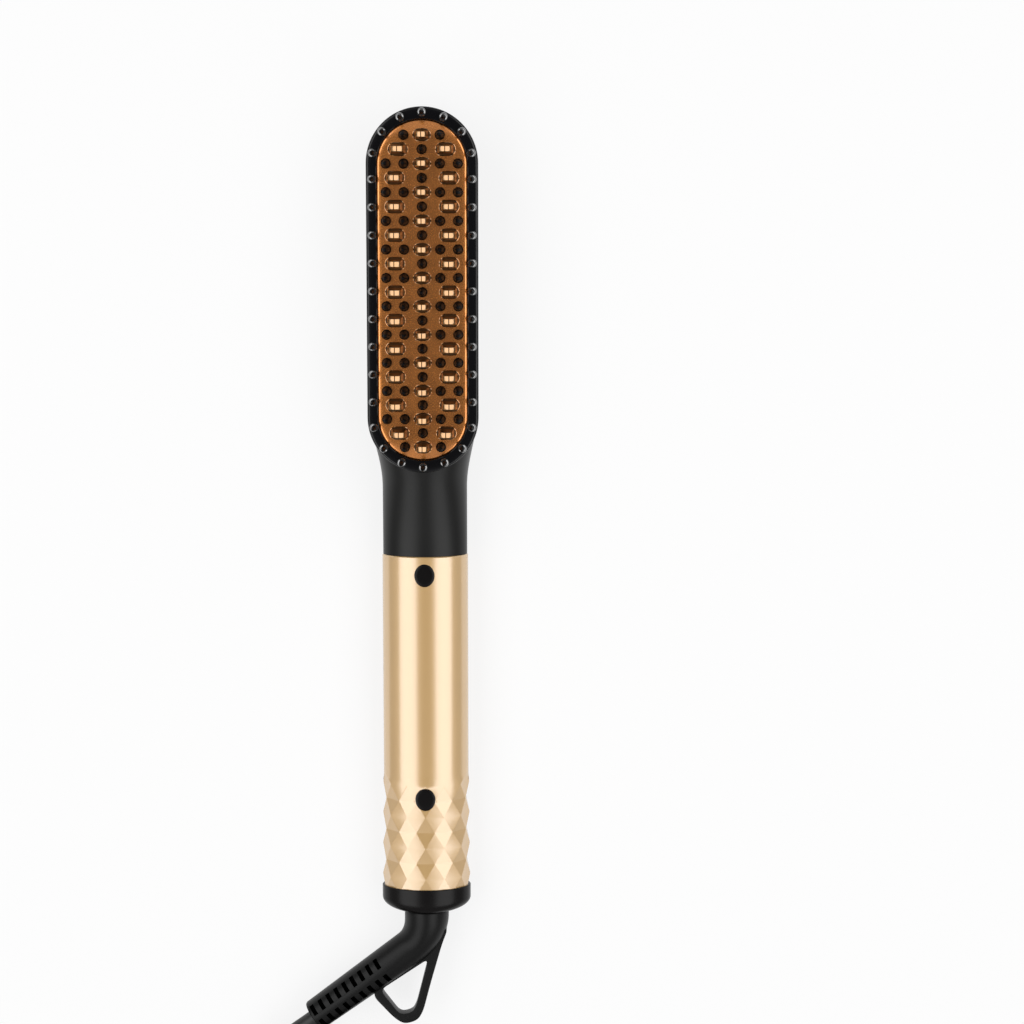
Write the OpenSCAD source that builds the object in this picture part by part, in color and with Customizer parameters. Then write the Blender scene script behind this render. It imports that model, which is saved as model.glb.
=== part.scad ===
// Hot comb with a slide switch in the handle and a swivelling mains lead.
// Millimetres. The comb lies on its back: teeth point up (+Z), the tip of the head points
// along +Y, X runs across. Z = 0 is the table and Y = 0 is the middle of the comb.

/* [Handle] */
// Length of the end cap
cap_len = 9.2; // [7:0.1:12]
// Length of the gold handle
handle_len = 123.9; // [118:0.1:135]
// Width of the handle
handle_w = 31.3; // [30:0.1:34]
// Thickness of the handle
handle_t = 20; // [19:0.1:23]
// Wall thickness of the shells
wall = 2; // [1.6:0.1:2.4]
// Distance between the rows of diamond facets
facet_pitch = 11.65; // [10:0.05:12]

/* [Head] */
// Length of the neck
neck_len = 31.3; // [28:0.1:40]
// Distance between the rows of teeth
row_pitch = 5; // [4.8:0.05:5.4]
// Width of the heating plate
plate_w = 31.8; // [31:0.1:34]
// Width of the frame beside the plate
rim_side = 3.9; // [3.6:0.1:5]
// Height of the frame's face above the table
rim_z = 27.5; // [26:0.1:30]

/* [Teeth] */
// Height of the heated teeth above the plate
tooth_h = 9.5; // [6:0.1:14]
// Height of the insulating pins above the plate
pin_h = 10; // [7:0.1:15]
// Height of the guard pins above the frame
guard_h = 9.5; // [6:0.1:14]

/* [Switch] */
// Length of the sliding knob
knob_len = 24.4; // [20:0.1:26]
// Width of the sliding knob
knob_w = 7.7; // [6:0.1:8]
// Travel of the knob from off to high
slide_travel = 5.8; // [4:0.1:7]

/* [Cord] */
// Diameter of the mains lead
cord_d = 6.5; // [6:0.1:6.8]

/* [Clearances] */
// Gap between parts that move past each other
gap = 0.3; // [0.25:0.05:0.4]
// Radial play of the swivel shaft in its bore
shaft_fit = 0.05; // [0.03:0.01:0.1]
// Room between parts that are fitted together
fit = 0.05; // [0.02:0.01:0.1]

/* [Hidden] */
tiny = 0.01;
open = 40; // reach of a cut that runs out of a part

// rows and columns of the head
rows = 23;
plate_margin = 5.25;
rim_end = 4.4;
row_shift = -0.3;
plate_len = (rows - 1) * row_pitch + 2 * plate_margin;
head_len = plate_len + 2 * rim_end;
comb_len = cap_len + handle_len + neck_len + head_len;

// places along Y
cap_end = -comb_len / 2;
cap_y = cap_end + cap_len;
neck_y = cap_y + handle_len;
head_y = neck_y + neck_len;
tip_y = comb_len / 2;
head_mid = (head_y + tip_y) / 2;

// oval of the handle
half_w = handle_w / 2;
half_t = handle_t / 2;
cap_step = 0.6;
axis_z = half_t + cap_step;
oval_sides = 48;

// diamond facets
facet_rows = 4;
facet_columns = 12;
facet_first = cap_y + 4 + (facet_rows - 1) * facet_pitch;
facet_fade = 3;
facet_proud = 0.25;
facet_growth = 0.1;
facet_dip = 0.5;
facet_wall = 3;

// screws of the handle
screw_from_neck = 6.9;
screw_from_cap = 34.05;
screw_ys = [neck_y - screw_from_neck, cap_y + screw_from_cap];
screw_r = 1.25;
screw_head_r = 2.5;
screw_head_h = 2;
screw_tip_z = 4;
screw_socket_r = 1.2;
screw_socket_h = 1;
cover_w = 7.2;
cover_l = 8.2;
cover_t = 2.2;
cover_top = axis_z + half_t;
head_top = cover_top - cover_t;
front_boss_r = 4.3;
rear_boss_r = 3.2;

// spigot of the head in the handle
spigot_len = 10.5;
spigot_r = 0.1;

// head
rim_r = plate_w / 2 + rim_side;
rim_run = head_len - 2 * rim_r;
rim_h = 6;
rim_low = rim_z - rim_h;
rim_lip = 1.5;
rim_bevel = 0.8;
plate_r = plate_w / 2;
plate_run = plate_len - plate_w;
plate_z = rim_z + 0.5;
plate_bevel = 0.8;
flange_r = plate_r + 1;
flange_z = rim_z - 4.1;
shell_r = rim_r - 0.25;
shell_run = rim_run + 0.1;
ledge_h = 1.5;
ledge_r = plate_r - 0.3;
shoulder_h = 12;
sole_cut = 0.15;

// teeth and pins
stem_r = 1.1;
stem_len = 2;
collar_h = 0.5;
collar_wall = 0.7;
centre_tooth = [5.2, 3.2];
side_tooth = [6.0, 3.5];
centre_tip = [3.5, 2.0];
side_tip = [4.2, 2.0];
tooth_x = 9.55;
tooth_end_x = 8.35;
inner_pin_x = 6.4;
outer_pin_x = 12.7;
pin_r = 1.8;
pin_tip_r = 0.45;
guard_r = 2.05;
guard_tip_r = 0.4;
guard_foot_h = 2.4;
guard_stem_len = rim_lip - 0.1;
guard_x = plate_r + 0.46 * rim_side;
guards_a_side = 9;
guard_pitch = 0.876 * rim_run / (guards_a_side - 1);
guard_arc = plate_r + 1.9;
guard_angles = [11.5, 38, 64.5, 90, 115.5, 142, 168.5];

// heater under the plate
film_t = 0.2;
electrode_t = 0.4;
ceramic_t = 2.2;
heater_l = plate_len - 20.5;
heater_w = plate_w - 7.8;
ceramics = 4;
ceramic_gap = 3;
film_z = flange_z - film_t;
upper_electrode_z = film_z - electrode_t;
ceramic_z = upper_electrode_z - ceramic_t;
lower_electrode_z = ceramic_z - electrode_t;
lower_film_z = lower_electrode_z - film_t;
clamp_t = 1.5;
clamp_z = lower_film_z - clamp_t;
clamp_screw_y = heater_l / 2 + 4.3;
clamp_screw_r = 1.1;
clamp_screw_l = 5;
clamp_head_r = 2.2;
clamp_head_h = 1.8;
clamp_boss_r = 2.6;
shield_z = 11;
shield_t = 1;
shield_w = 24;
shield_l = heater_l - 6;
post_r = 2;
post_root = 0.6;
post_x = 8.5;
post_y = 38;
lead_x = 9;
lead_r = 0.7;
tab_l = 4;
tab_y = head_mid - heater_l / 2 - tab_l;

// panel with the slot of the switch and the lens, placed from the neck
panel_from_neck = 7.3;
panel_len = 52.3;
panel_edge = 0.9;
panel_w = 10.6;
panel_z = 1.35;
panel_y1 = neck_y - panel_from_neck;
panel_y0 = panel_y1 - panel_len;
pocket_y0 = panel_y0 + panel_edge;
pocket_y1 = pocket_y0 + knob_len + slide_travel + 2 * gap;
pocket_w = knob_w + 2 * gap;
pocket_z = 2.6;
pad_w = pocket_w + 5.7;
pad_over = 3;
inner_z = 4;
knob_y0 = pocket_y0 + gap;
knob_z = 0.25;
stem_w = 2;
stem_l = 3;
stem_y = knob_y0 + (knob_len + slide_travel) / 2;
off_y = stem_y - slide_travel;
slit_y0 = off_y - stem_l / 2 - gap;
slit_y1 = stem_y + stem_l / 2 + gap;
carrier_w = 9;
carrier_l = 14;
carrier_t = 1;
carrier_z = inner_z + gap;
lens_from_end = 8.5;
lens_w = 3.3;
lens_l = 6;
lens_proud = 0.3;
lens_flange = 0.6;
lens_z = panel_z - lens_proud;
led_y = panel_y1 - lens_from_end;
led_r = 1.5;
led_collar = 0.4;
led_collar_h = 1;
led_gap = 1.4;

// circuit board, held over the slot by four posts
board_t = 1.6;
board_z = axis_z - board_t;
board_w = 22;
board_y0 = pocket_y0 - 14;
board_y1 = panel_y1 - 5.2;
board_screw_r = 0.9;
board_screw_h = 3.5;
board_head_r = 1.9;
board_head_h = 1.2;
board_post_r = 2.2;
board_post_x = board_w / 2 - 3;
board_post_y = 5;
board_post_ys = [board_y0 + board_post_y, board_y1 - board_post_y];
board_screws_at = [for (x = [board_post_x, -board_post_x]) for (y = board_post_ys) [x, y]];
board_hole_r = board_screw_r + 0.2;
switch_w = 9;
switch_l = 22;
switch_gap = 0.6;
switch_z = carrier_z + carrier_t + switch_gap;
lever_top = switch_z + 1.4;
capacitor_size = [8, 13, 5];
triac_size = [8.5, 9, 3.4];
triac_tab = [7.5, 5, 1.2];
chip_size = [6, 6, 1.6];
resistor_l = 8;
resistor_r = 1.4;
resistor_z = 2.2;
leg_r = 0.35;
parts_y = board_y0 + 12;
resistor_y = board_y0 + 34;
chip_y = board_y0 + 40;

// swivel in the end cap
cap_floor = 4.7;
core_r = 4.8;
core_len = 22;
stud_r = 3;
stud_len = 8;
wire_bore_r = 1.7;
flange_r_swivel = half_t - facet_wall - 1.1;
ring_flange_t = 1.2;
slip_r = 5.6;
slip_w = 2.5;
slip_ys = [9, 14];
block_x = slip_r + 2.6;
block_out = half_w - facet_wall - 1.6;
block_h = 5;
block_foot_h = 3;
block_end = core_len + 4;
spring_t = 0.4;
spring_w = 1.8;
tongue_len = 3;
tongue_t = 1.2;

// elbow, in places measured from the cap's end
elbow_r = 8.2;
bend_y = -10.8;
bend_r = 10;
bend_angle = 53.7;
relief_r1 = 6.75;
relief_r2 = 5.85;
relief_end = 52.3;
socket_end = 44;
slot_first = 20.5;
slot_pitch = 3.7;
slots = 9;
slot_angles = [-32, 32, 148, 212];
slot_size = [4, 1.3, 3];
loop_t = 5;
loop_outer = [[8.2, -6.9], [5.7, -13.4], [1.2, -29.2], [-1.4, -39.3], [-3.6, -42.9], [-8.5, -44.3],
    [-12.2, -42], [-20.5, -33.1], [-12, -18], [0, -8]];
loop_inner = [[0.3, -20.4], [-17.2, -31.2], [-10, -40.8], [-5.5, -39.7], [-4, -37]];

// mains lead: routes by hand from the cap's end, z from the table
cord_r = cord_d / 2;
tie_t = 0.6;
coil_at = [-30, -100.6];
coil_pitch = 6.68;
coil_inner = 25.75;
coil_turns = 4;
coil_layer_z = 6.6;
lead_route = [[-41.7, -42.4, 10.6], [-49.7, -48.3, 10.2], [-57.4, -54.5, 9], [-64, -62, 7.5],
    [-69.3, -70.4, 6], [-73.1, -79.5, 4.7], [-75.4, -89.2, 3.9], [-76, -99.1, 3.85], [-75, -109, 3.85]];
tail_route = [[-22.2, -142.4, 9.5], [-15.3, -139.9, 10.8], [-9, -136.2, 12.5], [-3.7, -131.5, 13.7],
    [0.7, -125.9, 14.7], [4.1, -119.9, 15.7], [6.7, -113.6, 16.3], [8.4, -107, 16.7], [8.9, -100.2, 16.9],
    [8.2, -93.5, 16.7], [6.4, -87, 16.4], [3.5, -80.8, 16.3], [-0.5, -75.3, 16.3], [-5.3, -70.6, 16.3],
    [-10.9, -66.7, 16.3], [-17.1, -63.9, 16.3], [-24.1, -62.3, 16.3], [-33.9, -62.6, 16.6],
    [-43.6, -65.8, 17.4], [-51, -71.9, 18.7], [-55.7, -80.1, 19.9], [-58, -89.5, 20.6]];
plug_at = [-58, -89.5];
plug_z = 20.6;
plug_relief_l = 22;
plug_relief_r1 = cord_r + 0.9;
plug_relief_r2 = cord_r + 2.2;
plug_l = 35;
plug_w = 35;
plug_t = 13.6;
plug_pin_r = 2;
plug_pin_l = 19;
plug_pin_tip = 1;
plug_tip_r = 1.3;
plug_root_r = 1.5;
plug_root_l = 6;
plug_pin_spread = 18.6;

// ---- helpers ----

function ease(t) = let (s = min(max(t, 0), 1)) s * s * (3 - 2 * s);
function mix(a, b, t) = a + (b - a) * t;
function oval(a, b, sides = oval_sides) =
    [for (i = [0:sides - 1]) [a * cos(360 * i / sides), b * sin(360 * i / sides)]];
function power(v, e) = sign(v) * pow(abs(v), e);

// turns of an oval at equal steps of arc length, from the top
oval_steps = 360;
function oval_arcs(a, b) = [for (t = 0, s = 0; t <= oval_steps;
    s = s + norm([a * (sin(t + 1) - sin(t)), b * (cos(t + 1) - cos(t))]), t = t + 1) s];
arcs = oval_arcs(half_w, half_t);
function turn_at(part) = lookup(part * arcs[oval_steps], [for (t = [0:oval_steps]) [arcs[t], t]]);

// an outline in X and Z, extruded from y1 to y2 about the handle's axis
module along(y1, y2) {
    translate([0, y2, axis_z]) rotate([90, 0, 0]) linear_extrude(y2 - y1) children();
}

module box(x, y, z) {
    translate([x[0], y[0], z[0]]) cube([x[1] - x[0], y[1] - y[0], z[1] - z[0]]);
}

module stadium(r, run) {
    square([2 * r, run], center = true);
    for (s = [-1, 1]) translate([0, s * run / 2]) circle(r = r, $fn = 96);
}

module head_stadium(r, run, z1, z2) {
    translate([0, head_mid, z1]) linear_extrude(z2 - z1) stadium(r, run);
}

// a stadium block with a bevelled upper edge
module bevelled_stadium(r, run, z1, z2, bevel) {
    head_stadium(r, run, z1, z2 - bevel);
    for (s = [-1, 1]) translate([0, head_mid + s * run / 2, z2 - bevel])
        cylinder(r1 = r, r2 = r - bevel, h = bevel, $fn = 96);
    translate([0, head_mid + run / 2, z2 - bevel]) rotate([90, 0, 0]) linear_extrude(run)
        polygon([[-r, 0], [r, 0], [r - bevel, bevel], [bevel - r, bevel]]);
}

// closed skin over rings that have the same number of points
module loft(rings) {
    n = len(rings[0]);
    m = len(rings);
    polyhedron(points = [for (r = rings) each r], faces = concat(
        [[for (i = [n - 1:-1:0]) i]],
        [for (j = [0:m - 2]) for (i = [0:n - 1]) let (k = (i + 1) % n) each
            [[j * n + i, j * n + k, (j + 1) * n + k], [j * n + i, (j + 1) * n + k, (j + 1) * n + i]]],
        [[for (i = [0:n - 1]) (m - 1) * n + i]]));
}

// round tube along a route, with one radius for each point
function unit(v) = v / norm(v);
function heading(route, i) = unit(route[min(i + 1, len(route) - 1)] - route[max(i - 1, 0)]);
function ring_at(p, way, r, sides) = let (side = unit(cross(way, [0, 0, 1])), up = cross(side, way))
    [for (i = [0:sides - 1]) p + r * (cos(360 * i / sides) * side + sin(360 * i / sides) * up)];
module tube(route, radii, sides) {
    loft([for (i = [0:len(route) - 1]) ring_at(route[i], heading(route, i), radii[i], sides)]);
}
module wire(route, r, sides = 8) tube(route, [for (p = route) r], sides);

// ---- head ----

// cross-section of the neck and the back shell at a place y, set in by a wall
function head_ring(y, inset, sides) = let (
    s = ease((y - neck_y - 25) / 29),
    rise = ease((y - neck_y - 2) / 46),
    over = max(0, y - (head_mid + shell_run / 2)),
    full = shell_r - inset,
    tip = sqrt(max(full * full - over * over, 0)),
    w = y > head_mid ? tip : mix(half_w - 0.3 - inset, full, s),
    nose = max(0, over - full + shoulder_h - inset),
    lift = (shoulder_h - inset) * (1 - sqrt(max(1 - pow(nose / (shoulder_h - inset), 2), 0))),
    low = mix(cap_step, -sole_cut, rise) + inset + lift,
    high = mix(axis_z + half_t, rim_z + 1, rise) - inset,
    mid = mix(axis_z, shoulder_h, rise),
    drop = mid - min(low, mid - tiny),
    e_low = mix(1, 0.7, rise),
    e_high = mix(1, 0.25, s))
    [for (i = [0:sides - 1]) let (t = 360 * i / sides, c = cos(t), v = sin(t))
        [w * power(c, v > 0 ? e_high : e_low), y,
         v > 0 ? mid + (high - mid) * power(v, e_high) : mid + drop * power(v, e_low)]];
neck_stations = [0, 6, 13, 20, 26, 31, 36, 41, 46, 50, 54];
tip_stations = [0, 20, 38, 54, 66, 76, 84];
module head_body(inset, start, sides) {
    straight = head_mid + shell_run / 2;
    loft(concat(
        [for (s = neck_stations) head_ring(neck_y + start + s * (1 - start / 54), inset, sides)],
        [for (a = tip_stations) head_ring(straight + (shell_r - inset) * sin(a), inset, sides)]));
}

// shallow blind slots in the back of the head: place across, depth, reach over the tip
vent_w = 2.6;
vent_columns = [[0, 1.1, 17.5], [-6, 1.1, 17.5], [6, 1.1, 17.5], [-12.2, 2.4, 15.6], [12.2, 2.4, 15.6]];
vent_rows = [[19.8, 26.9], [29.6, 36.5]];
module vents() {
    for (c = vent_columns) {
        across = [c[0] - vent_w / 2, c[0] + vent_w / 2];
        for (r = vent_rows) box(across, [tip_y - r[1], tip_y - r[0]], [-1, c[1]]);
        box(across, [tip_y - c[2], tip_y], [-1, c[1]]);
    }
}

// oval of the spigot, set in from the handle's inner wall
module spigot_oval(inset) polygon(oval(half_w - wall - spigot_r - inset, half_t - wall - spigot_r - inset, 32));

module head_shell() color("#2c2b2a") {
    difference() {
        head_body(0, 0, 40);
        head_stadium(rim_r + tiny, rim_run, rim_low, rim_low + open);
        box([-open, open], [neck_y, tip_y + 1], [-1, 0]);
        intersection() {
            head_body(wall, -tiny, 28);
            box([-open, open], [neck_y - 1, tip_y], [0, rim_low - ledge_h]);
        }
        along(neck_y - 1, neck_y + 20) spigot_oval(wall);
        head_stadium(ledge_r, plate_run, rim_low - ledge_h - 1, rim_low + 1);
        vents();
    }
    difference() {
        along(neck_y - spigot_len, neck_y + 1) spigot_oval(0);
        along(neck_y - spigot_len - 1, neck_y + 2) spigot_oval(wall);
        translate([0, screw_ys[0], axis_z]) cylinder(r = front_boss_r + gap, h = open, $fn = 48);
        translate([0, screw_ys[0], 0]) cylinder(r = rear_boss_r + gap, h = axis_z, $fn = 48);
    }
    for (x = [-post_x, post_x]) for (y = [-post_y, post_y])
        translate([x, head_mid + y, wall - post_root])
            cylinder(r = post_r, h = shield_z - wall + post_root, $fn = 32);
}

module rim_frame() color("#1a1a20") difference() {
    bevelled_stadium(rim_r, rim_run, rim_low, rim_z, rim_bevel);
    head_stadium(plate_r + fit, plate_run, rim_low - 1, rim_z + 1);
    head_stadium(flange_r + fit, plate_run, rim_low - 1, rim_z - rim_lip);
    guards() translate([0, 0, rim_z - guard_stem_len]) cylinder(r = stem_r, h = open, $fn = 24);
}

// places of the guard pins round the frame
module guards() {
    for (s = [-1, 1]) for (i = [0:guards_a_side - 1])
        translate([s * guard_x, head_mid + (i - (guards_a_side - 1) / 2) * guard_pitch, 0]) children();
    for (s = [-1, 1]) for (a = guard_angles)
        translate([guard_arc * cos(a), head_mid + s * (rim_run / 2 + guard_arc * sin(a)), 0]) children();
}

module rim_pins() color("#1c1c1e") guards() {
    translate([0, 0, rim_z - guard_stem_len]) cylinder(r = stem_r, h = guard_stem_len, $fn = 24);
    translate([0, 0, rim_z]) cylinder(r1 = guard_r, r2 = 0.6 * guard_r, h = guard_foot_h, $fn = 24);
    translate([0, 0, rim_z + guard_foot_h])
        cylinder(r1 = 0.6 * guard_r, r2 = guard_tip_r, h = guard_h - guard_foot_h, $fn = 24);
}

// rows of teeth and pins, the first at the tip; odd rows have one tooth in the middle
function row_y(i) = head_mid + row_shift + ((rows + 1) / 2 - i) * row_pitch;
module centre_teeth() for (i = [1:2:rows]) translate([0, row_y(i), plate_z]) children();
module side_teeth() for (i = [2:2:rows]) for (s = [-1, 1]) {
    x = i == 2 || i == rows - 1 ? tooth_end_x : tooth_x;
    translate([s * x, row_y(i), plate_z]) children();
}
module pins() {
    for (i = [1:2:rows]) for (s = [-1, 1]) translate([s * inner_pin_x, row_y(i), plate_z]) children();
    for (i = [3:2:rows - 2]) for (s = [-1, 1]) translate([s * outer_pin_x, row_y(i), plate_z]) children();
    for (i = [2:2:rows - 1]) translate([0, row_y(i), plate_z]) children();
}
module stem_bore() translate([0, 0, -stem_len]) cylinder(r = stem_r, h = open, $fn = 24);
module stem() translate([0, 0, -stem_len]) cylinder(r = stem_r, h = stem_len + tiny, $fn = 24);

module at_clamp_screws() for (s = [-1, 1]) translate([0, head_mid + s * clamp_screw_y, clamp_z]) children();

module heating_plate() color("#c8793a") difference() {
    union() {
        bevelled_stadium(plate_r, plate_run, flange_z, plate_z, plate_bevel);
        head_stadium(flange_r, plate_run, flange_z, rim_z - rim_lip);
        at_clamp_screws() translate([0, 0, clamp_t])
            cylinder(r = clamp_boss_r, h = flange_z - clamp_z, $fn = 32);
    }
    centre_teeth() stem_bore();
    side_teeth() stem_bore();
    pins() stem_bore();
    at_clamp_screws() cylinder(r = clamp_screw_r, h = clamp_screw_l + 0.5, $fn = 24);
}

// a tooth: collar with round ends, and a blade that tapers both ways to a grooved tip
module tooth(foot, tip) {
    stem();
    linear_extrude(collar_h) {
        square([foot[0] - foot[1], foot[1] + 2 * collar_wall], center = true);
        for (s = [-1, 1]) translate([s * (foot[0] - foot[1]) / 2, 0])
            circle(r = foot[1] / 2 + collar_wall, $fn = 32);
    }
    difference() {
        intersection() {
            translate([0, foot[1] / 2, 0]) rotate([90, 0, 0]) linear_extrude(foot[1])
                polygon([[-foot[0] / 2, 0], [foot[0] / 2, 0], [tip[0] / 2, tooth_h], [-tip[0] / 2, tooth_h]]);
            translate([-foot[0] / 2, 0, 0]) rotate([90, 0, 90]) linear_extrude(foot[0])
                polygon([[-foot[1] / 2, 0], [foot[1] / 2, 0], [tip[1] / 2, tooth_h], [-tip[1] / 2, tooth_h]]);
        }
        translate([0, 0, tooth_h]) rotate([0, 45, 0]) cube([0.6, foot[1], 0.6], center = true);
    }
}

module heating_teeth() color("#c99650") {
    centre_teeth() tooth(centre_tooth, centre_tip);
    side_teeth() tooth(side_tooth, side_tip);
}

module insulating_pins() color("#201e1e") pins() {
    stem();
    cylinder(r = pin_r, h = 1, $fn = 24);
    translate([0, 0, 1]) cylinder(r1 = pin_r - 0.35, r2 = pin_tip_r, h = pin_h - 1, $fn = 24);
}

module plate_gasket() color("#7c3a30") difference() {
    head_stadium(flange_r, plate_run, rim_low, flange_z);
    head_stadium(ledge_r + 0.4, plate_run, rim_low - 1, flange_z + 1);
}

module heater_slab(w, l, z1, z2) box([-w / 2, w / 2], [head_mid - l / 2, head_mid + l / 2], [z1, z2]);

module heater_films() color("#b98a3a") {
    heater_slab(heater_w + 2, heater_l + 2, film_z, flange_z);
    heater_slab(heater_w + 2, heater_l + 2, lower_film_z, lower_electrode_z);
}

module heater_electrodes() color("#c9ccd0") {
    heater_slab(heater_w, heater_l, upper_electrode_z, film_z);
    heater_slab(heater_w, heater_l, lower_electrode_z, ceramic_z);
    box([lead_x - 1, lead_x + 1], [tab_y, tab_y + tab_l + tiny], [upper_electrode_z, film_z]);
    box([-lead_x - 1, 1 - lead_x], [tab_y, tab_y + tab_l + tiny], [lower_electrode_z, ceramic_z]);
}

module heater_elements() color("#6e6a66") {
    l = (heater_l - (ceramics - 1) * ceramic_gap) / ceramics;
    for (i = [0:ceramics - 1]) {
        y = head_mid - heater_l / 2 + i * (l + ceramic_gap);
        box([1 - heater_w / 2, heater_w / 2 - 1], [y, y + l], [ceramic_z, upper_electrode_z]);
    }
}

module heater_clamp() color("#b4b7ba") difference() {
    union() {
        heater_slab(heater_w + 2, heater_l + 2, clamp_z, lower_film_z);
        heater_slab(12, 2 * clamp_screw_y + 8, clamp_z, lower_film_z);
    }
    at_clamp_screws() translate([0, 0, -1]) cylinder(r = clamp_screw_r + gap, h = clamp_t + 2, $fn = 24);
}

module clamp_screws() color("#8d9095") at_clamp_screws() {
    translate([0, 0, -clamp_head_h]) cylinder(r = clamp_head_r, h = clamp_head_h, $fn = 32);
    translate([0, 0, -tiny]) cylinder(r = clamp_screw_r, h = clamp_screw_l, $fn = 24);
}

module thermal_fuse() color("#c9b26a") translate([5, head_mid + 8, clamp_z]) {
    translate([0, 0, -2]) rotate([90, 0, 0]) cylinder(r = 1.8, h = 11, center = true, $fn = 32);
    box([-1, 1], [-4.5, 4.5], [-1.2, 0]);
}

module thermistor() color("#3a6b4a") translate([-5, head_mid, clamp_z]) {
    box([-2, 2], [-4, 4], [-1, 0]);
    translate([0, 0, -1.2]) sphere(r = 1.1, $fn = 24);
}

module heat_shield() color("#c4bfae") difference() {
    heater_slab(shield_w, shield_l, shield_z, shield_z + shield_t);
    translate([0, head_mid, shield_z - 1]) cylinder(r = 2.5, h = 4, $fn = 32);
}

// two leads from the tabs of the electrodes, through the neck, to the board
module heater_leads() color("#d8d4c8") for (s = [-1, 1]) {
    top = (s > 0 ? upper_electrode_z : lower_electrode_z) - 0.2;
    x = s * lead_x;
    end_x = s * (lead_x - 1.5);
    wire([[x, tab_y + 1, top], [x, tab_y + 0.8, top - 1.5], [x - s * 0.3, tab_y - 1, top - 4.4],
        [x - s * 0.7, tab_y - 7, 14], [x - s * 1.2, tab_y - 18, 12.4], [end_x, neck_y, 12],
        [end_x, screw_ys[0], 12], [end_x, board_y1, 11.9],
        [end_x, board_y1 - 3, axis_z + lead_r + fit]], lead_r);
}

// ---- handle ----

// outline of the handle with its points at equal steps of arc length from the top
function handle_oval(out, sides, shift = 0) = [for (i = [0:sides - 1]) let (t = turn_at((i + shift) / sides))
    [-(half_w + out) * sin(t), (half_t + out) * cos(t)]];
function at_y(outline, y) = [for (p = outline) [p[0], y, axis_z + p[1]]];

// the diamond facets: rings of twelve points, proud on the rows, low and half a step round
// between them; the last ring is joined to the smooth oval above it
facet_rings = [for (k = [2 * facet_rows:-1:0]) let (out = facet_proud + k * facet_growth / 2, low = k % 2)
    at_y(handle_oval(out - low * facet_dip, facet_columns, low / 2), facet_first - k * facet_pitch / 2)];
module facets() {
    n = facet_columns;
    m = len(facet_rings);
    each_edge = oval_sides / n;
    last = (m - 1) * n;
    smooth = m * n;
    top_ring = at_y(handle_oval(0, oval_sides), facet_first + facet_fade);
    polyhedron(points = concat([for (r = facet_rings) each r], top_ring), faces = concat(
        [[for (i = [n - 1:-1:0]) i]],
        [for (j = [0:m - 2]) for (i = [0:n - 1]) let (k = (i + 1) % n, a = j * n, b = a + n) each
            j % 2 == 0 ? [[a + i, a + k, b + i], [a + k, b + k, b + i]]
                       : [[a + i, a + k, b + k], [a + i, b + k, b + i]]],
        [for (i = [0:n - 1]) [last + i, last + (i + 1) % n, smooth + (i + 0.5) * each_edge]],
        [for (i = [0:n - 1]) for (s = [0:each_edge - 1]) let (k = s < each_edge / 2 ? i : (i + 1) % n)
            [last + k, smooth + (i * each_edge + s + 1) % oval_sides, smooth + i * each_edge + s]],
        [[for (i = [0:oval_sides - 1]) smooth + i]]));
}

module handle_body() {
    along(facet_first + facet_fade, neck_y) polygon(handle_oval(0, oval_sides));
    intersection() {
        facets();
        box([-open, open], [cap_y, facet_first + facet_fade], [-open, open]);
    }
}

module handle_cavity() {
    along(facet_first + facet_fade + 1, neck_y + 1) polygon(oval(half_w - wall, half_t - wall));
    along(cap_y - 1, facet_first + facet_fade + 2)
        polygon(oval(half_w - facet_wall, half_t - facet_wall + 0.4, 32));
}

module cover_outline(play) polygon(oval(cover_w / 2 + play, cover_l / 2 + play, 32));

module handle_front() color("#d9b877") difference() {
    union() {
        difference() {
            handle_body();
            handle_cavity();
            box([-open, open], [cap_y - 1, neck_y + 1], [-open, axis_z]);
        }
        intersection() {
            for (y = screw_ys) translate([0, y, axis_z]) cylinder(r = front_boss_r, h = half_t, $fn = 48);
            along(cap_y, neck_y) polygon(oval(half_w - 1, half_t - 1));
        }
    }
    for (y = screw_ys) translate([0, y, 0]) {
        translate([0, 0, head_top]) linear_extrude(open) cover_outline(fit);
        translate([0, 0, head_top - screw_head_h])
            cylinder(r = screw_head_r + gap, h = screw_head_h + 1, $fn = 48);
        translate([0, 0, axis_z - 1]) cylinder(r = screw_r + gap, h = half_t, $fn = 32);
    }
}

module handle_rear() color("#d9b877") difference() {
    union() {
        difference() {
            handle_body();
            handle_cavity();
            box([-open, open], [cap_y - 1, neck_y + 1], [axis_z, open]);
        }
        intersection() {
            union() {
                for (y = screw_ys) translate([0, y, 0]) cylinder(r = rear_boss_r, h = axis_z, $fn = 48);
                for (p = board_screws_at) translate([p[0], p[1], 0])
                    cylinder(r = board_post_r, h = board_z, $fn = 32);
                box([-pad_w / 2, pad_w / 2], [panel_y0, pocket_y1 + pad_over], [0, inner_z]);
                box([-4, 4], [led_y - lens_l / 2 - 1, led_y + lens_l / 2 + 1], [0, inner_z]);
            }
            along(cap_y, neck_y) polygon(oval(half_w - 1, half_t - 1));
        }
    }
    for (y = screw_ys) translate([0, y, screw_tip_z - 0.5]) cylinder(r = screw_r, h = open, $fn = 32);
    for (p = board_screws_at) translate([p[0], p[1], board_z - board_screw_h - 0.5])
        cylinder(r = board_screw_r, h = open, $fn = 24);
    translate([0, (panel_y0 + panel_y1) / 2, -1]) linear_extrude(panel_z + 1)
        stadium(panel_w / 2, panel_y1 - panel_y0 - panel_w);
    translate([0, (pocket_y0 + pocket_y1) / 2, -1]) linear_extrude(pocket_z + 1) pocket_outline();
    box([-stem_w / 2 - gap, stem_w / 2 + gap], [slit_y0, slit_y1], [-1, inner_z + 1]);
    translate([0, led_y, -1]) linear_extrude(inner_z + 2) lens_outline(fit);
}

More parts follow.
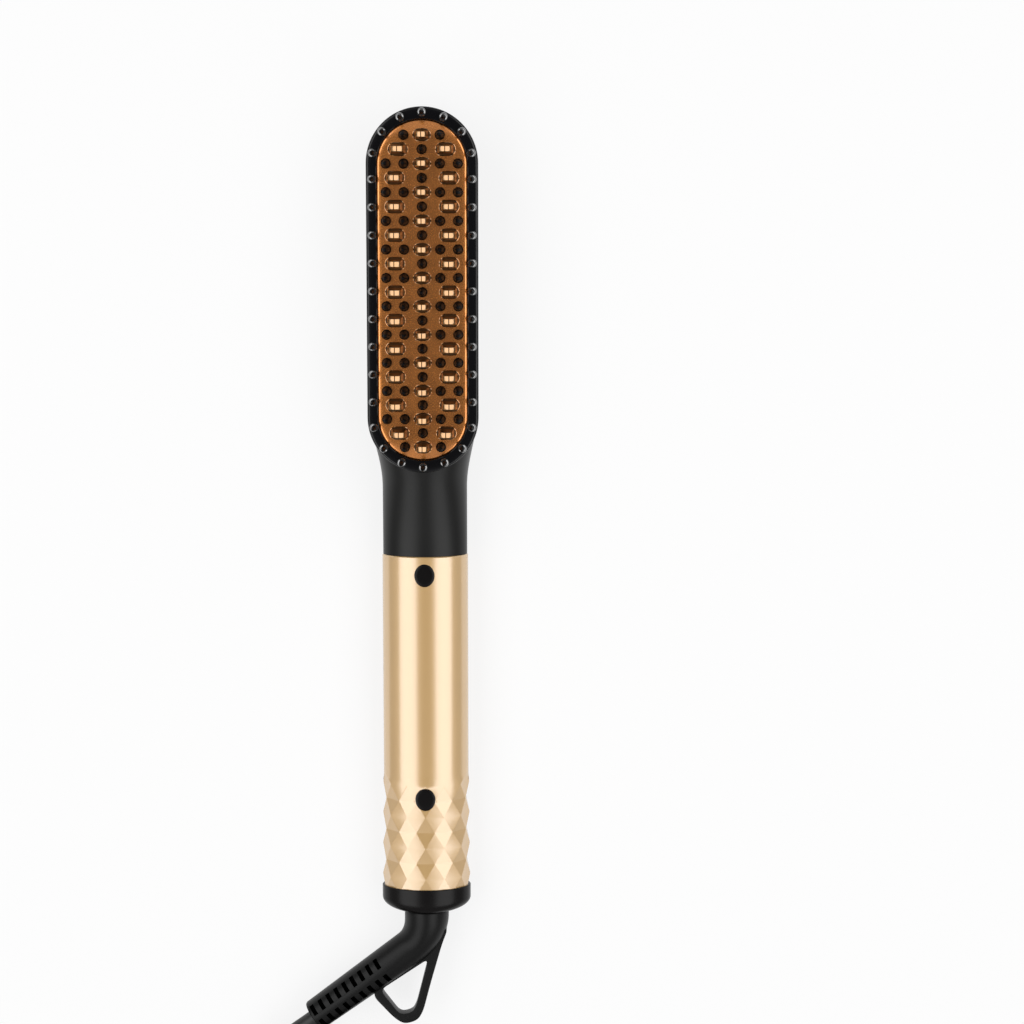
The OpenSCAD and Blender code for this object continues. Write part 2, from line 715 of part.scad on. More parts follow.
module pocket_outline() stadium(pocket_w / 2, pocket_y1 - pocket_y0 - pocket_w);
module lens_outline(grow) polygon(oval(lens_w / 2 + grow, lens_l / 2 + grow, 32));

module screw_covers() color("#1d1c1b") for (y = screw_ys) translate([0, y, head_top])
    linear_extrude(cover_t) cover_outline(0);

module handle_screws() color("#8d9095") for (y = screw_ys) translate([0, y, 0]) difference() {
    union() {
        translate([0, 0, head_top - screw_head_h]) cylinder(r = screw_head_r, h = screw_head_h, $fn = 32);
        translate([0, 0, screw_tip_z])
            cylinder(r = screw_r, h = head_top - screw_head_h - screw_tip_z + tiny, $fn = 32);
    }
    translate([0, 0, head_top - screw_socket_h])
        cylinder(r = screw_socket_r, h = 2 * screw_socket_h, $fn = 6);
}

// ---- electronics ----

module circuit_board() color("#2f6b3a") difference() {
    box([-board_w / 2, board_w / 2], [board_y0, board_y1], [board_z, board_z + board_t]);
    for (p = board_screws_at) translate([p[0], p[1], board_z - 1]) cylinder(r = board_hole_r, h = 4, $fn = 24);
}

module board_screws() color("#9a9da1") for (p = board_screws_at) translate([p[0], p[1], 0]) {
    translate([0, 0, axis_z]) cylinder(r = board_head_r, h = board_head_h, $fn = 24);
    translate([0, 0, board_z - board_screw_h])
        cylinder(r = board_screw_r, h = board_t + board_screw_h + tiny, $fn = 24);
}

module on_board(x, y, size) translate([x, y, axis_z]) cube(size);

module capacitor() color("#c8a33c") on_board(-2 - capacitor_size[0], parts_y, capacitor_size);

module power_triac() color("#232323") {
    on_board(0.5, parts_y, triac_size);
    on_board(1, parts_y + triac_size[1], triac_tab);
}

module control_chip() color("#1f1f1f") on_board(-chip_size[0] / 2, chip_y, chip_size);

module dropper_resistor() color("#4a6f8a") {
    translate([-resistor_l / 2 + 1, resistor_y, axis_z + resistor_z]) rotate([0, 90, 0])
        cylinder(r = resistor_r, h = resistor_l, $fn = 24);
    for (s = [-1, 1]) translate([1 + s * (resistor_l / 2 - 0.6), resistor_y, axis_z])
        cylinder(r = leg_r, h = resistor_z, $fn = 16);
}

module slide_switch() color("#2b2b2e") difference() {
    y = stem_y - slide_travel / 2;
    box([-switch_w / 2, switch_w / 2], [y - switch_l / 2, y + switch_l / 2], [switch_z, board_z]);
    box([-stem_w / 2 - gap, stem_w / 2 + gap], [slit_y0, slit_y1], [switch_z - 1, lever_top + gap]);
}

// the stem that joins knob, carrier and lever through the slit
module stem_block(z1, z2) box([-stem_w / 2, stem_w / 2], [off_y - stem_l / 2, off_y + stem_l / 2], [z1, z2]);

module switch_lever() color("#d8d8d4") stem_block(carrier_z + carrier_t, lever_top);

module slider_carrier() color("#4a4a4d")
    box([-carrier_w / 2, carrier_w / 2], [off_y - carrier_l / 2, off_y + carrier_l / 2],
        [carrier_z, carrier_z + carrier_t]);

// the knob has raised diamonds: a saw profile along it, worked out from its length
knob_ridges = 4;
ridge_h = 0.7;
// its lower end is round like the pocket and its upper end has a blunt point
knob_point = 2;
module knob_outline() intersection() {
    translate([0, knob_y0 + knob_len / 2]) stadium(knob_w / 2, knob_len - knob_w);
    translate([0, knob_y0]) polygon([[-knob_w, 0], [knob_w, 0], [knob_w / 2, knob_len - knob_point],
        [0, knob_len], [-knob_w / 2, knob_len - knob_point]]);
}

module slider_knob() color("#17171a") {
    ridge_pitch = knob_len / knob_ridges;
    intersection() {
        translate([-knob_w / 2, knob_y0, 0]) rotate([90, 0, 90]) linear_extrude(knob_w) polygon(concat(
            [[knob_len, pocket_z - gap], [0, pocket_z - gap]],
            [for (i = [0:2 * knob_ridges]) [i * ridge_pitch / 2, knob_z + (i % 2 == 0 ? ridge_h : 0)]]));
        linear_extrude(pocket_z) knob_outline();
    }
    stem_block(pocket_z - gap - tiny, carrier_z);
}

module indicator_led() color("#d24a3a") {
    translate([0, led_y, inner_z + led_gap]) cylinder(r = led_r, h = board_z - inner_z - led_gap, $fn = 24);
    translate([0, led_y, board_z - led_collar_h])
        cylinder(r = led_r + led_collar, h = led_collar_h, $fn = 24);
}

module led_lens() color("#2a1412") {
    translate([0, led_y, lens_z]) linear_extrude(inner_z - lens_z) lens_outline(0);
    translate([0, led_y, inner_z]) linear_extrude(lens_flange) lens_outline(lens_flange);
}

// ---- cap and swivel ----

cap_w = handle_w / 2 + 0.72;
cap_t = half_t + cap_step;
cap_rounds = [[0, 1.6], [0.5, 0.75], [1.4, 0.2], [2.6, 0]];
key_x = 2.5; // small nub under the cap
key_d = 3;
key_r = 1;
key_h = 1.5;
module cap_body() loft(concat(
    [for (c = cap_rounds) [for (p = oval(cap_w - c[1], cap_t - c[1])) [p[0], cap_end + c[0], axis_z + p[1]]]],
    [[for (p = oval(cap_w, cap_t)) [p[0], cap_y, axis_z + p[1]]]]));

// a bore or shaft about the swivel's axis, between two distances from the cap's end
module on_axis(d1, d2) {
    translate([0, cap_end + d2, axis_z]) rotate([90, 0, 0]) linear_extrude(d2 - d1) children();
}

module end_cap() color("#1e1d1d") difference() {
    union() {
        cap_body();
        on_axis(cap_len - tiny, cap_len + tongue_len)
            polygon(oval(half_w - facet_wall - fit, half_t - facet_wall + 0.4 - fit, 32));
        translate([key_x, cap_end + key_d, 0.05]) cylinder(r = key_r, h = key_h, $fn = 24);
    }
    on_axis(cap_floor, cap_len + tongue_len + 1)
        polygon(oval(half_w - facet_wall - tongue_t, half_t - facet_wall - tongue_t + 0.4, 32));
    on_axis(-1, cap_floor + 1) circle(r = core_r + shaft_fit, $fn = 64);
}

module contact_block() color("#3c3c40") {
    box([block_x, block_out], [cap_y + tongue_len + tiny, cap_end + block_end],
        [axis_z - block_h / 2, axis_z + block_h / 2]);
    box([block_x + 0.5, block_out - 0.5], [cap_end + cap_floor, cap_y + tongue_len + 1],
        [axis_z - block_foot_h / 2, axis_z + block_foot_h / 2]);
}

module contact_springs() color("#c9a24a") for (d = slip_ys) {
    y = cap_end + d + slip_w / 2;
    box([slip_r + gap, block_x], [y - spring_w / 2, y + spring_w / 2],
        [axis_z - spring_t / 2, axis_z + spring_t / 2]);
}

// two leads from the contact block, beside the screw, to the board
module power_leads() color("#5b4a3c") for (s = [-1, 1]) {
    start = cap_end + block_end + 0.1;
    x = (block_x + block_out) / 2;
    z = axis_z + lead_r;
    out_z = axis_z + s * 1.4;
    wire([[x, start, out_z], [x, start + 4, out_z], [x - 1 + s, screw_ys[1] - 5, z],
        [x - 1 + s, screw_ys[1] + 4, z + 1], [x - 3 + s, board_y0 - 1, z + 1],
        [x - 5 + s, board_y0 + 4, z + fit]], lead_r);
}

module swivel_core() color("#e0ddd2") difference() {
    on_axis(0, core_len) circle(r = core_r, $fn = 64);
    on_axis(-1, core_len + 1) circle(r = stud_r, $fn = 48);
}

module slip_rings() color("#c9a24a") for (d = slip_ys) difference() {
    on_axis(d, d + slip_w) circle(r = slip_r, $fn = 64);
    on_axis(d - 1, d + slip_w + 1) circle(r = core_r, $fn = 64);
}

module retaining_ring() color("#9a9da1") difference() {
    on_axis(cap_floor + gap, cap_floor + gap + ring_flange_t) circle(r = flange_r_swivel, $fn = 64);
    on_axis(cap_floor, cap_floor + gap + ring_flange_t + 1) circle(r = core_r, $fn = 64);
}

// bend of the elbow: the neck's radius falls to the relief's over the turn
bend_steps = 7;
skin_step = 0.03; // keeps the bend's skin just inside the round ends that it joins
function bend_point(a) = [-bend_r * (1 - cos(a)), bend_y + bend_r * tan(bend_angle / 2) - bend_r * sin(a), 0];
module at_cap_end() translate([0, cap_end, axis_z]) children();
module relief_at(s) translate([0, bend_y, 0]) rotate([0, 0, -bend_angle]) translate([0, -s, 0]) children();
relief_start = bend_r * tan(bend_angle / 2);

module cord_elbow() color("#222222") at_cap_end() difference() {
    union() {
        translate([0, -gap, 0]) rotate([90, 0, 0])
            cylinder(r = elbow_r, h = -bend_y - relief_start - gap, $fn = 64);
        translate([0, stud_len, 0]) rotate([90, 0, 0]) cylinder(r = stud_r, h = stud_len + 1, $fn = 48);
        tube([for (i = [0:bend_steps]) bend_point(bend_angle * i / bend_steps)],
            [for (i = [0:bend_steps]) mix(elbow_r, relief_r1, ease(i / bend_steps)) - skin_step], 40);
        relief_at(relief_start) rotate([90, 0, 0])
            cylinder(r1 = relief_r1, r2 = relief_r2, h = relief_end - relief_start, $fn = 64);
        difference() {
            translate([0, 0, -loop_t / 2]) linear_extrude(loop_t) polygon(loop_outer);
            translate([0, 0, -loop_t]) linear_extrude(2 * loop_t) polygon(loop_inner);
        }
    }
    translate([0, stud_len + 1, 0]) rotate([90, 0, 0]) cylinder(r = wire_bore_r, h = stud_len + 6, $fn = 32);
    relief_at(socket_end) rotate([90, 0, 0]) cylinder(r = cord_r, h = relief_end, $fn = 48);
    for (i = [0:slots - 1]) for (a = slot_angles)
        relief_at(slot_first + i * slot_pitch) rotate([0, a, 0]) translate([0, 0, relief_r1])
            cube(slot_size, center = true);
}

// ---- mains lead ----

function placed(route) = [for (p = route) [p[0], p[1] + cap_end, p[2]]];

// the lead starts in the relief's socket
socket_point = [-socket_end * sin(bend_angle), bend_y - socket_end * cos(bend_angle), axis_z];
module power_cord() color("#262626")
    tube(placed(concat([socket_point], lead_route)), [for (i = [0:len(lead_route)]) cord_r], 12);

module cord_tail() color("#262626") tube(placed(tail_route), [for (p = tail_route) cord_r], 12);

module at_coil() translate([coil_at[0], coil_at[1] + cap_end, 0]) children();
coil_in = coil_inner - cord_r;
coil_out = coil_inner + (coil_turns - 1) * coil_pitch + cord_r;
coil_top = tie_t + coil_layer_z + 2 * cord_r;
function coil_section(grow) = [[coil_in - grow, tie_t + 1.6], [coil_in + 1.6, tie_t - grow],
    [coil_out - 1.6, tie_t - grow], [coil_out + grow, tie_t + 1.6], [coil_out + grow, tie_t + 4.6],
    [coil_out - 3 + grow, coil_top - 2], [coil_out - 5, coil_top + grow], [coil_in + 5, coil_top + grow],
    [coil_in + 3 - grow, coil_top - 2], [coil_in - grow, tie_t + 4.6]];
module cord_coil() color("#262626") at_coil() rotate_extrude($fn = 72) polygon(coil_section(0));

tie_at = 268;
tie_sweep = 9;
module cord_tie() color("#3a3a3a") at_coil() rotate([0, 0, tie_at]) rotate_extrude(angle = tie_sweep, $fn = 96)
    difference() {
        polygon(coil_section(tie_t));
        polygon(coil_section(0));
    }

// the plug lies on the coil, its pins away from the comb
module at_plug() translate([plug_at[0], plug_at[1] + cap_end, plug_z]) rotate([0, 0, -90]) children();

module plug_relief() color("#222222") at_plug() rotate([0, 90, 0]) difference() {
    cylinder(r1 = plug_relief_r1, r2 = plug_relief_r2, h = plug_relief_l, $fn = 48);
    translate([0, 0, -1]) cylinder(r = cord_r - tiny, h = 1 + tiny, $fn = 48);
}

// flat body that widens from the relief to the face with the pins
plug_outline = [[0, -6], [4, -6.8], [18, -17.5], [plug_l, -13], [plug_l, 13], [18, 17.5], [4, 6.8], [0, 6]];
plug_side = [[0, -5.6], [14, -plug_t / 2], [plug_l, -plug_t / 2],
    [plug_l, plug_t / 2], [14, plug_t / 2], [0, 5.6]];
module plug_body() color("#222222") at_plug() translate([plug_relief_l, 0, 0]) difference() {
    intersection() {
        translate([0, 0, -plug_t / 2]) linear_extrude(plug_t) polygon(plug_outline);
        translate([0, plug_w / 2, 0]) rotate([90, 0, 0]) linear_extrude(plug_w) polygon(plug_side);
    }
    for (s = [-1, 1]) translate([plug_l - plug_root_l, s * plug_pin_spread / 2, 0]) rotate([0, 90, 0])
        cylinder(r = plug_root_r, h = 2 * plug_root_l, $fn = 32);
}

module plug_pins() color("#c8c9cc") at_plug() for (s = [-1, 1])
    translate([plug_relief_l + plug_l, s * plug_pin_spread / 2, 0]) rotate([0, 90, 0]) {
        translate([0, 0, -plug_root_l]) cylinder(r = plug_root_r, h = plug_root_l + tiny, $fn = 32);
        cylinder(r = plug_pin_r, h = plug_pin_l - plug_pin_tip, $fn = 32);
        translate([0, 0, plug_pin_l - plug_pin_tip])
            cylinder(r1 = plug_pin_r, r2 = plug_tip_r, h = plug_pin_tip, $fn = 32);
    }

head_shell();
rim_frame();
rim_pins();
heating_plate();
heating_teeth();
insulating_pins();
plate_gasket();
heater_films();
heater_electrodes();
heater_elements();
heater_clamp();
clamp_screws();
thermal_fuse();
thermistor();
heat_shield();
heater_leads();
handle_front();
handle_rear();
screw_covers();
handle_screws();
circuit_board();
board_screws();
capacitor();
power_triac();
control_chip();
dropper_resistor();
slide_switch();
switch_lever();
slider_carrier();
slider_knob();
indicator_led();
led_lens();
end_cap();
contact_block();
contact_springs();
power_leads();
swivel_core();
slip_rings();
retaining_ring();
cord_elbow();
power_cord();
cord_coil();
cord_tie();
cord_tail();
plug_relief();
plug_body();
plug_pins();
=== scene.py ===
import math

import bmesh
import bpy
from mathutils import Euler, Matrix, Vector
from mathutils.geometry import convex_hull_2d


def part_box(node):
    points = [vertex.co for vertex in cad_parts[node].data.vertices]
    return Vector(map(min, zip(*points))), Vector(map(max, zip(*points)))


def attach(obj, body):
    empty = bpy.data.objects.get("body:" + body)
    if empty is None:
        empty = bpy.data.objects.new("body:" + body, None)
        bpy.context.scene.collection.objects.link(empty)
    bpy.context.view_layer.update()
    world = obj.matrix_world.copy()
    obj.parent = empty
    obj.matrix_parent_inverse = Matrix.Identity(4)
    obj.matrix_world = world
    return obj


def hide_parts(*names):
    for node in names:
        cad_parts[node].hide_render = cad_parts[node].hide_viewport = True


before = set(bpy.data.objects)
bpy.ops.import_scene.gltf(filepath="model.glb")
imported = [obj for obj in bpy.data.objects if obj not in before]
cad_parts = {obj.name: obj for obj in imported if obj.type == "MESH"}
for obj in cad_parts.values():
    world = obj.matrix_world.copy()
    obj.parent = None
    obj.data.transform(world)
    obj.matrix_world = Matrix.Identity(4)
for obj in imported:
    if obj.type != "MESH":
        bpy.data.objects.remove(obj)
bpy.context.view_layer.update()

MM = 0.001

# ---- sizes, in millimetres, read from the frame or repeated from the part's source ----


def reach(node):
    """Lowest and highest corner of a CAD node, in millimetres."""
    low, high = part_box(node)
    return low / MM, high / MM


front_low, front_high = reach("handle_front")
rim_low, rim_high = reach("rim_frame")
plate_low, plate_high = reach("heating_plate")

# places along the comb: the cap's end, the handle's two ends, the middle and the tip of the head
CAP_END = reach("end_cap")[0].y
CAP_Y = front_low.y
NECK_Y = front_high.y
HEAD_MID = (rim_low.y + rim_high.y) / 2
TIP_Y = rim_high.y

# the handle's oval, its middle height and its walls behind the smooth part and behind the facets
AXIS_Z = front_low.z
HALF_T = 10.0
HALF_W = 15.65
WALL = 2.0
FACET_WALL = 3.0

# the head's stadium outlines: a radius for the round ends, a run for the straight sides
RIM_R = rim_high.x
RIM_RUN = rim_high.y - rim_low.y - 2 * RIM_R
RIM_Z = rim_high.z
RIM_FOOT = rim_low.z
RIM_LIP = 1.5             # the rim's lip over the plate's flange
PLATE_FLANGE = 1.0
PLATE_R = plate_high.x - PLATE_FLANGE
PLATE_RUN = plate_high.y - plate_low.y - 2 * plate_high.x
PLATE_Z = plate_high.z
PLATE_DEPTH = 4.1         # from the rim's face down to the plate's underside
SHELL_R = RIM_R - 0.25
SHELL_RUN = RIM_RUN + 0.1
SHOULDER_H = 12.0         # height at which the back shell is widest
FIT = 0.05
FAR = 60                  # past the end of whatever is cut
TINY = 1e-9

# rounds that the moulds leave on the sharp edges
SHELL_EDGE = 0.25
HANDLE_EDGE = 0.1
FACET_EDGE = 0.3
CAP_EDGE = 0.15
ELBOW_EDGE = 0.2
LOOP_EDGE = 1.3
KNOB_ROUND = 0.08
PLUG_EDGE = 0.3
INNER_EDGE = 0.06

# the mains lead, as it lies beyond the end of the comb; y counts from the cap's end
CORD_D = 6.5
BEND_Y = -10.8
BEND_R = 16.5
BEND = math.radians(53.7)
SOCKET_END = 44.0
SOCKET = (-SOCKET_END * math.sin(BEND), BEND_Y - SOCKET_END * math.cos(BEND), AXIS_Z)
LEAD_ROUTE = [(-41.7, -42.4, 10.6), (-49.7, -48.3, 10.2), (-57.4, -54.5, 9), (-64, -62, 7.5),
              (-69.3, -70.4, 6), (-73.1, -79.5, 4.7), (-75.4, -89.2, 3.9), (-76, -99.1, 3.85)]
TAIL_ROUTE = [(-15.3, -139.9, 10.8), (-9, -136.2, 12.5), (-3.7, -131.5, 13.7), (0.7, -125.9, 14.7),
              (4.1, -119.9, 15.7), (6.7, -113.6, 16.3), (8.4, -107, 16.7), (8.9, -100.2, 16.9),
              (8.2, -93.5, 16.7), (6.4, -87, 16.4), (3.5, -80.8, 16.3), (-0.5, -75.3, 16.3),
              (-5.3, -70.6, 16.3), (-10.9, -66.7, 16.3), (-17.1, -63.9, 16.3), (-24.1, -62.3, 16.3),
              (-33.9, -62.6, 16.6), (-43.6, -65.8, 17.4), (-51, -71.9, 18.7), (-55.7, -80.1, 19.9),
              (-58, -89.5, 20.6)]
COIL_AT = (-30.0, -100.6)
COIL_START = 190.55       # angle at which the lead joins the outer turn, in degrees
COIL_TURN = 2250          # degrees wound before the tail lifts off the second layer
# four turns on the table, three on top of them
COIL_RADII = [45.8, 39.12, 32.43, 25.75, 29.1, 35.8, 42.5]
COIL_Z = 3.85
PLUG_AT = (-58.0, -89.5, 20.6)

# ---- mesh making ----


def between(a, b, t):
    """The value at a part of the way from one to another."""
    return a + (b - a) * t


def eased(t):
    """From 0 to 1, starting and ending gently."""
    t = min(max(t, 0), 1)
    return t * t * (3 - 2 * t)


def signed_power(v, e):
    """A power that keeps the sign: it squares up or slims down an oval's sines and cosines."""
    return math.copysign(abs(v) ** e, v)


def ring_points(count):
    """Evenly spaced angles round a full turn."""
    return [2 * math.pi * i / count for i in range(count)]


def vertex_row(bm, points):
    """Vertices at points given in millimetres."""
    return [bm.verts.new(Vector(p) * MM) for p in points]


def loft(bm, rings, closed=False):
    """Skin over rings with the same number of points; closed joins the last ring to the first."""
    rows = [vertex_row(bm, ring) for ring in rings]
    pairs = list(zip(rows, rows[1:]))
    if closed:
        pairs.append((rows[-1], rows[0]))
    for a, b in pairs:
        for i in range(len(a)):
            k = (i + 1) % len(a)
            bm.faces.new((a[i], a[k], b[k], b[i]))
    if not closed:
        bm.faces.new(rows[0][::-1])
        bm.faces.new(rows[-1])


def turned(bm, profile, at, steps=28):
    """A turned form standing at a place: profile is (radius, height) from the foot to the tip."""
    x, y, z = at
    loft(bm, [[(x + r * math.cos(a), y + r * math.sin(a), z + h) for a in ring_points(steps)]
              for r, h in profile])


def level(outline, z):
    """An outline laid at a height."""
    return [(x, y, z) for x, y in outline]


def shifted(outline, x0, y0):
    """An outline moved across and along the comb."""
    return [(x0 + x, y0 + y) for x, y in outline]


def stadium(r, run, mid=0.0, steps=48):
    """Outline of a stadium along Y: two half circles joined by straight sides."""
    points = []
    for side in (0, 1):
        centre = mid + (run / 2 if side == 0 else -run / 2)
        for i in range(steps + 1):
            a = math.pi * (side + i / steps)
            points.append((r * math.cos(a), centre + r * math.sin(a)))
    return points


def oval(a, b, count=64):
    """Outline of an ellipse from its half axes."""
    return [(a * math.cos(t), b * math.sin(t)) for t in ring_points(count)]


def rounded(outer, z, radius, inward=True, steps=5):
    """(size, height) pairs of a rounded edge that ends on top at height z."""
    side = -1 if inward else 1
    return [(outer + side * radius * (1 - math.cos(a)), z - radius * (1 - math.sin(a)))
            for a in (math.pi / 2 * i / steps for i in range(steps + 1))]


def made(bm, name, crease=30.0):
    """A piece from a bmesh: faces turned outward, smooth apart from edges above the crease angle."""
    bmesh.ops.recalc_face_normals(bm, faces=bm.faces)
    mesh = bpy.data.meshes.new(name)
    bm.to_mesh(mesh)
    bm.free()
    piece = bpy.data.objects.new(name, mesh)
    bpy.context.scene.collection.objects.link(piece)
    smooth(piece, crease)
    return piece


def lofted(name, rings, crease=30.0, closed=False):
    """A piece skinned over rings."""
    bm = bmesh.new()
    loft(bm, rings, closed)
    return made(bm, name, crease)


def smooth(piece, crease):
    """Edges turning by more than the crease angle stay sharp, the rest is shaded smooth."""
    bm = bmesh.new()
    bm.from_mesh(piece.data)
    for face in bm.faces:
        face.smooth = True
    for edge in bm.edges:
        edge.smooth = edge.calc_face_angle(math.pi) < math.radians(crease)
    bm.to_mesh(piece.data)
    bm.free()


def settled(piece, crease=30.0):
    """Applies the modifiers of a piece."""
    graph = bpy.context.evaluated_depsgraph_get()
    mesh = bpy.data.meshes.new_from_object(piece.evaluated_get(graph))
    piece.modifiers.clear()
    piece.data = mesh
    smooth(piece, crease)
    return piece


def cut(piece, tools, how="DIFFERENCE", crease=30.0):
    """Cuts pieces out of a piece, or joins them to it."""
    for tool in tools:
        change = piece.modifiers.new("cut", "BOOLEAN")
        change.object = tool
        change.operation = how
        change.solver = "EXACT"
    settled(piece, crease)
    for tool in tools:
        bpy.data.objects.remove(tool)
    return piece


def prism(outline, z1, z2):
    """An upright form between two heights, to cut with or to join on."""
    return lofted("cutter", [level(outline, z) for z in (z1, z2)])


def disc(x, y, r, z1, z2, count=48):
    """An upright cylinder."""
    return prism(shifted(oval(r, r, count), x, y), z1, z2)


def box_cutter(x, y, z):
    """A box from its three reaches."""
    return prism([(x[0], y[0]), (x[1], y[0]), (x[1], y[1]), (x[0], y[1])], z[0], z[1])


def edged(piece, width, angle=25.0, steps=2):
    """A small round on the sharp edges, as a mould leaves it."""
    bevel = piece.modifiers.new("edge", "BEVEL")
    bevel.width = width * MM
    bevel.segments = steps
    bevel.limit_method = "ANGLE"
    bevel.angle_limit = math.radians(angle)
    bevel.harden_normals = True
    bevel.use_clamp_overlap = True
    return piece


def placed(piece, body, slot, finish, *nodes):
    """Puts a finish on a piece, lets it ride on a body and stand for its CAD nodes."""
    piece.data.materials.clear()
    piece.data.materials.append(finish)
    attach(piece, body)
    if nodes:
        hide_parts(*nodes)
    return piece


# ---- camera ----

CAMERA_AT = (31.7, 112.46, 890.6)
CAMERA_TILT = 7.194   # degrees from straight down, towards the cap
CAMERA_LENS = 85.506
CAMERA_SENSOR = 36.0
CAMERA_NEAR = 0.01    # in metres

camera = bpy.data.objects.new("camera", bpy.data.cameras.new("camera"))
camera.location = Vector(CAMERA_AT) * MM
camera.rotation_euler = Euler((math.radians(-CAMERA_TILT), 0, 0))
camera.data.lens = CAMERA_LENS
camera.data.sensor_width = CAMERA_SENSOR
camera.data.clip_start = CAMERA_NEAR
bpy.context.scene.collection.objects.link(camera)
bpy.context.scene.camera = camera

# ---- finishes ----


def linear(code):
    """sRGB hex to linear RGBA."""
    parts = [int(code[i:i + 2], 16) / 255 for i in (1, 3, 5)]
    return tuple(c / 12.92 if c <= 0.04045 else ((c + 0.055) / 1.055) ** 2.4 for c in parts) + (1.0,)


def add(tree, kind, settings=(), links=()):
    """A node with its settings, by attribute or socket name, and its incoming links."""
    node = tree.nodes.new(kind)
    for key, value in dict(settings).items():
        if isinstance(key, str) and hasattr(node, key):
            setattr(node, key, value)
        else:
            node.inputs[key].default_value = value
    for key, output in dict(links).items():
        tree.links.new(output, node.inputs[key])
    return node


def fresh(name):
    """An empty material, its node tree and the object's own coordinates."""
    material = bpy.data.materials.new(name)
    material.use_nodes = True
    tree = material.node_tree
    tree.nodes.clear()
    place = add(tree, "ShaderNodeTexCoord").outputs["Object"]
    return material, tree, place


def finish(name, colour, rough, metal=0.0, grain=0.3, depth=0.01, mottle=0.06, spread=0.06,
           patch=9.0, stretch=(1, 1, 1), ior=1.5, coat=0.0, coat_rough=0.1, coat_ior=1.5, specular=0.5):
    """A finish with grain (mm apart, mm deep), a mottle of its colour (share, mm apart) and a spread of its
    roughness; stretch above 1 draws the grain out across that axis."""
    material, tree, place = fresh(name)
    stretched = add(tree, "ShaderNodeMapping", {"Scale": stretch}, {"Vector": place})
    fine = add(tree, "ShaderNodeTexNoise", {"Scale": 1 / (grain * MM), "Detail": 3.0},
               {"Vector": stretched.outputs["Vector"]})
    broad = add(tree, "ShaderNodeTexNoise", {"Scale": 1 / (patch * MM), "Detail": 2.0},
                {"Vector": stretched.outputs["Vector"]})
    base = linear(colour)[:3]
    darker = tuple(c * (1 - mottle) for c in base) + (1,)
    lighter = tuple(min(c * (1 + mottle), 1) for c in base) + (1,)
    # sockets 6, 7 and output 2 of a mix node are its two colours and the mixed colour
    tint = add(tree, "ShaderNodeMix", {"data_type": "RGBA", 6: darker, 7: lighter},
               {0: broad.outputs["Fac"]})
    gloss = add(tree, "ShaderNodeMapRange", {"To Min": rough * (1 - spread), "To Max": rough * (1 + spread)},
                {"Value": fine.outputs["Fac"]})
    bump = add(tree, "ShaderNodeBump", {"Strength": 0.6, "Distance": depth * MM},
               {"Height": fine.outputs["Fac"]})
    shader = add(tree, "ShaderNodeBsdfPrincipled",
                 {"Metallic": metal, "IOR": ior, "Coat Weight": coat, "Coat Roughness": coat_rough,
                  "Coat IOR": coat_ior, "Specular IOR Level": specular},
                 {"Base Color": tint.outputs[2], "Roughness": gloss.outputs["Result"],
                  "Normal": bump.outputs["Normal"]})
    add(tree, "ShaderNodeOutputMaterial", links={"Surface": shader.outputs["BSDF"]})
    return material


# ABS sprayed with gold flake paint under a pearl lacquer: tan by itself, with broad cream bands from the
# lamps, because the lacquer's titania flakes reflect far more than plain varnish. The flakes are about
# 0.03 mm and are drawn 0.12 mm apart, so that they show.
gold = finish("gold_flake_paint_pearl_lacquer", "#CCA467", 0.34, metal=0.28, grain=0.12, depth=0.0012,
              mottle=0.03, patch=14, coat=1.0, coat_rough=0.2, coat_ior=2.5)
# ABS under a soft rubbery paint: deep charcoal with a faint even sheen. The paint's matting beads of about
# 0.05 mm are drawn 0.16 mm apart, so that they show.
soft_black = finish("charcoal_soft_touch_abs", "#0B0B0A", 0.36, grain=0.16, depth=0.006, specular=0.3)
# PBT, polished in the mould: near black, with sharp small highlights and the slight waviness of polishing,
# 0.5 mm from crest to crest
gloss_black = finish("black_polished_pbt", "#08080B", 0.16, grain=0.5, depth=0.002, specular=0.35)
# nylon of the pins, matt from a spark-eroded mould: they stay near black over the bright plate. The mould's
# pits of about 0.1 mm are drawn 0.3 mm apart, so that they show.
pin_black = finish("black_satin_nylon", "#0A0808", 0.6, grain=0.3, depth=0.004, specular=0.1)
# feet of the guard pins, polished in the mould and lacquered: each carries a crisp pale crescent on its
# outer slope; the lacquer's waves lie 0.5 mm apart
foot_black = finish("black_lacquered_nylon", "#070708", 0.14, grain=0.5, depth=0.002, specular=0.3,
                    coat=1.0, coat_rough=0.04, coat_ior=2.8)
# aluminium, etched and anodised copper: it mirrors the dark ceiling between the teeth and lights up where
# its ends fall away. The etched grain of about 0.1 mm is drawn 0.35 mm apart, so that it shows; the dye
# takes a little unevenly, in patches of 4.5 mm.
copper = finish("copper_anodised_aluminium", "#EA944A", 0.27, metal=1.0, grain=0.35, depth=0.0025,
                mottle=0.22, patch=4.5, coat=0.6, coat_rough=0.1, coat_ior=1.8)
# the same metal on the teeth, etched and satin: the darker bronze along the blades is painted shade, set
# against the lighter tips and collars of the same metal; its grain of about 0.1 mm is drawn 0.3 mm apart, so
# that it shows
blade_metal_painted_shade = finish("bronze_anodised_aluminium_painted_shade", "#6E4A20", 0.34, metal=1.0, grain=0.3, depth=0.004,
                     mottle=0.08)
# the same metal, polished before anodising, so that collars and tips catch the lamps; their lighter bronze
# is a painted highlight on top of that real polish; what polishing leaves of the grain is drawn 0.3 mm apart
# too
tip_metal_painted_highlight = finish("bronze_polished_aluminium_painted_highlight", "#A9793F", 0.16, metal=1.0, grain=0.3, depth=0.002,
                   mottle=0.06, coat=1.0, coat_rough=0.06, coat_ior=1.9)
# Near-black paint on the walls inside the elbow's slots: painted shade, darker than the elbow's own black,
# so the slots read as deep. The pits of about 0.1 mm are drawn 0.3 mm apart, so that they show.
slot_painted_shade = finish("black_tpe_painted_shade", "#020202", 0.9, grain=0.3, depth=0.02, specular=0.02)
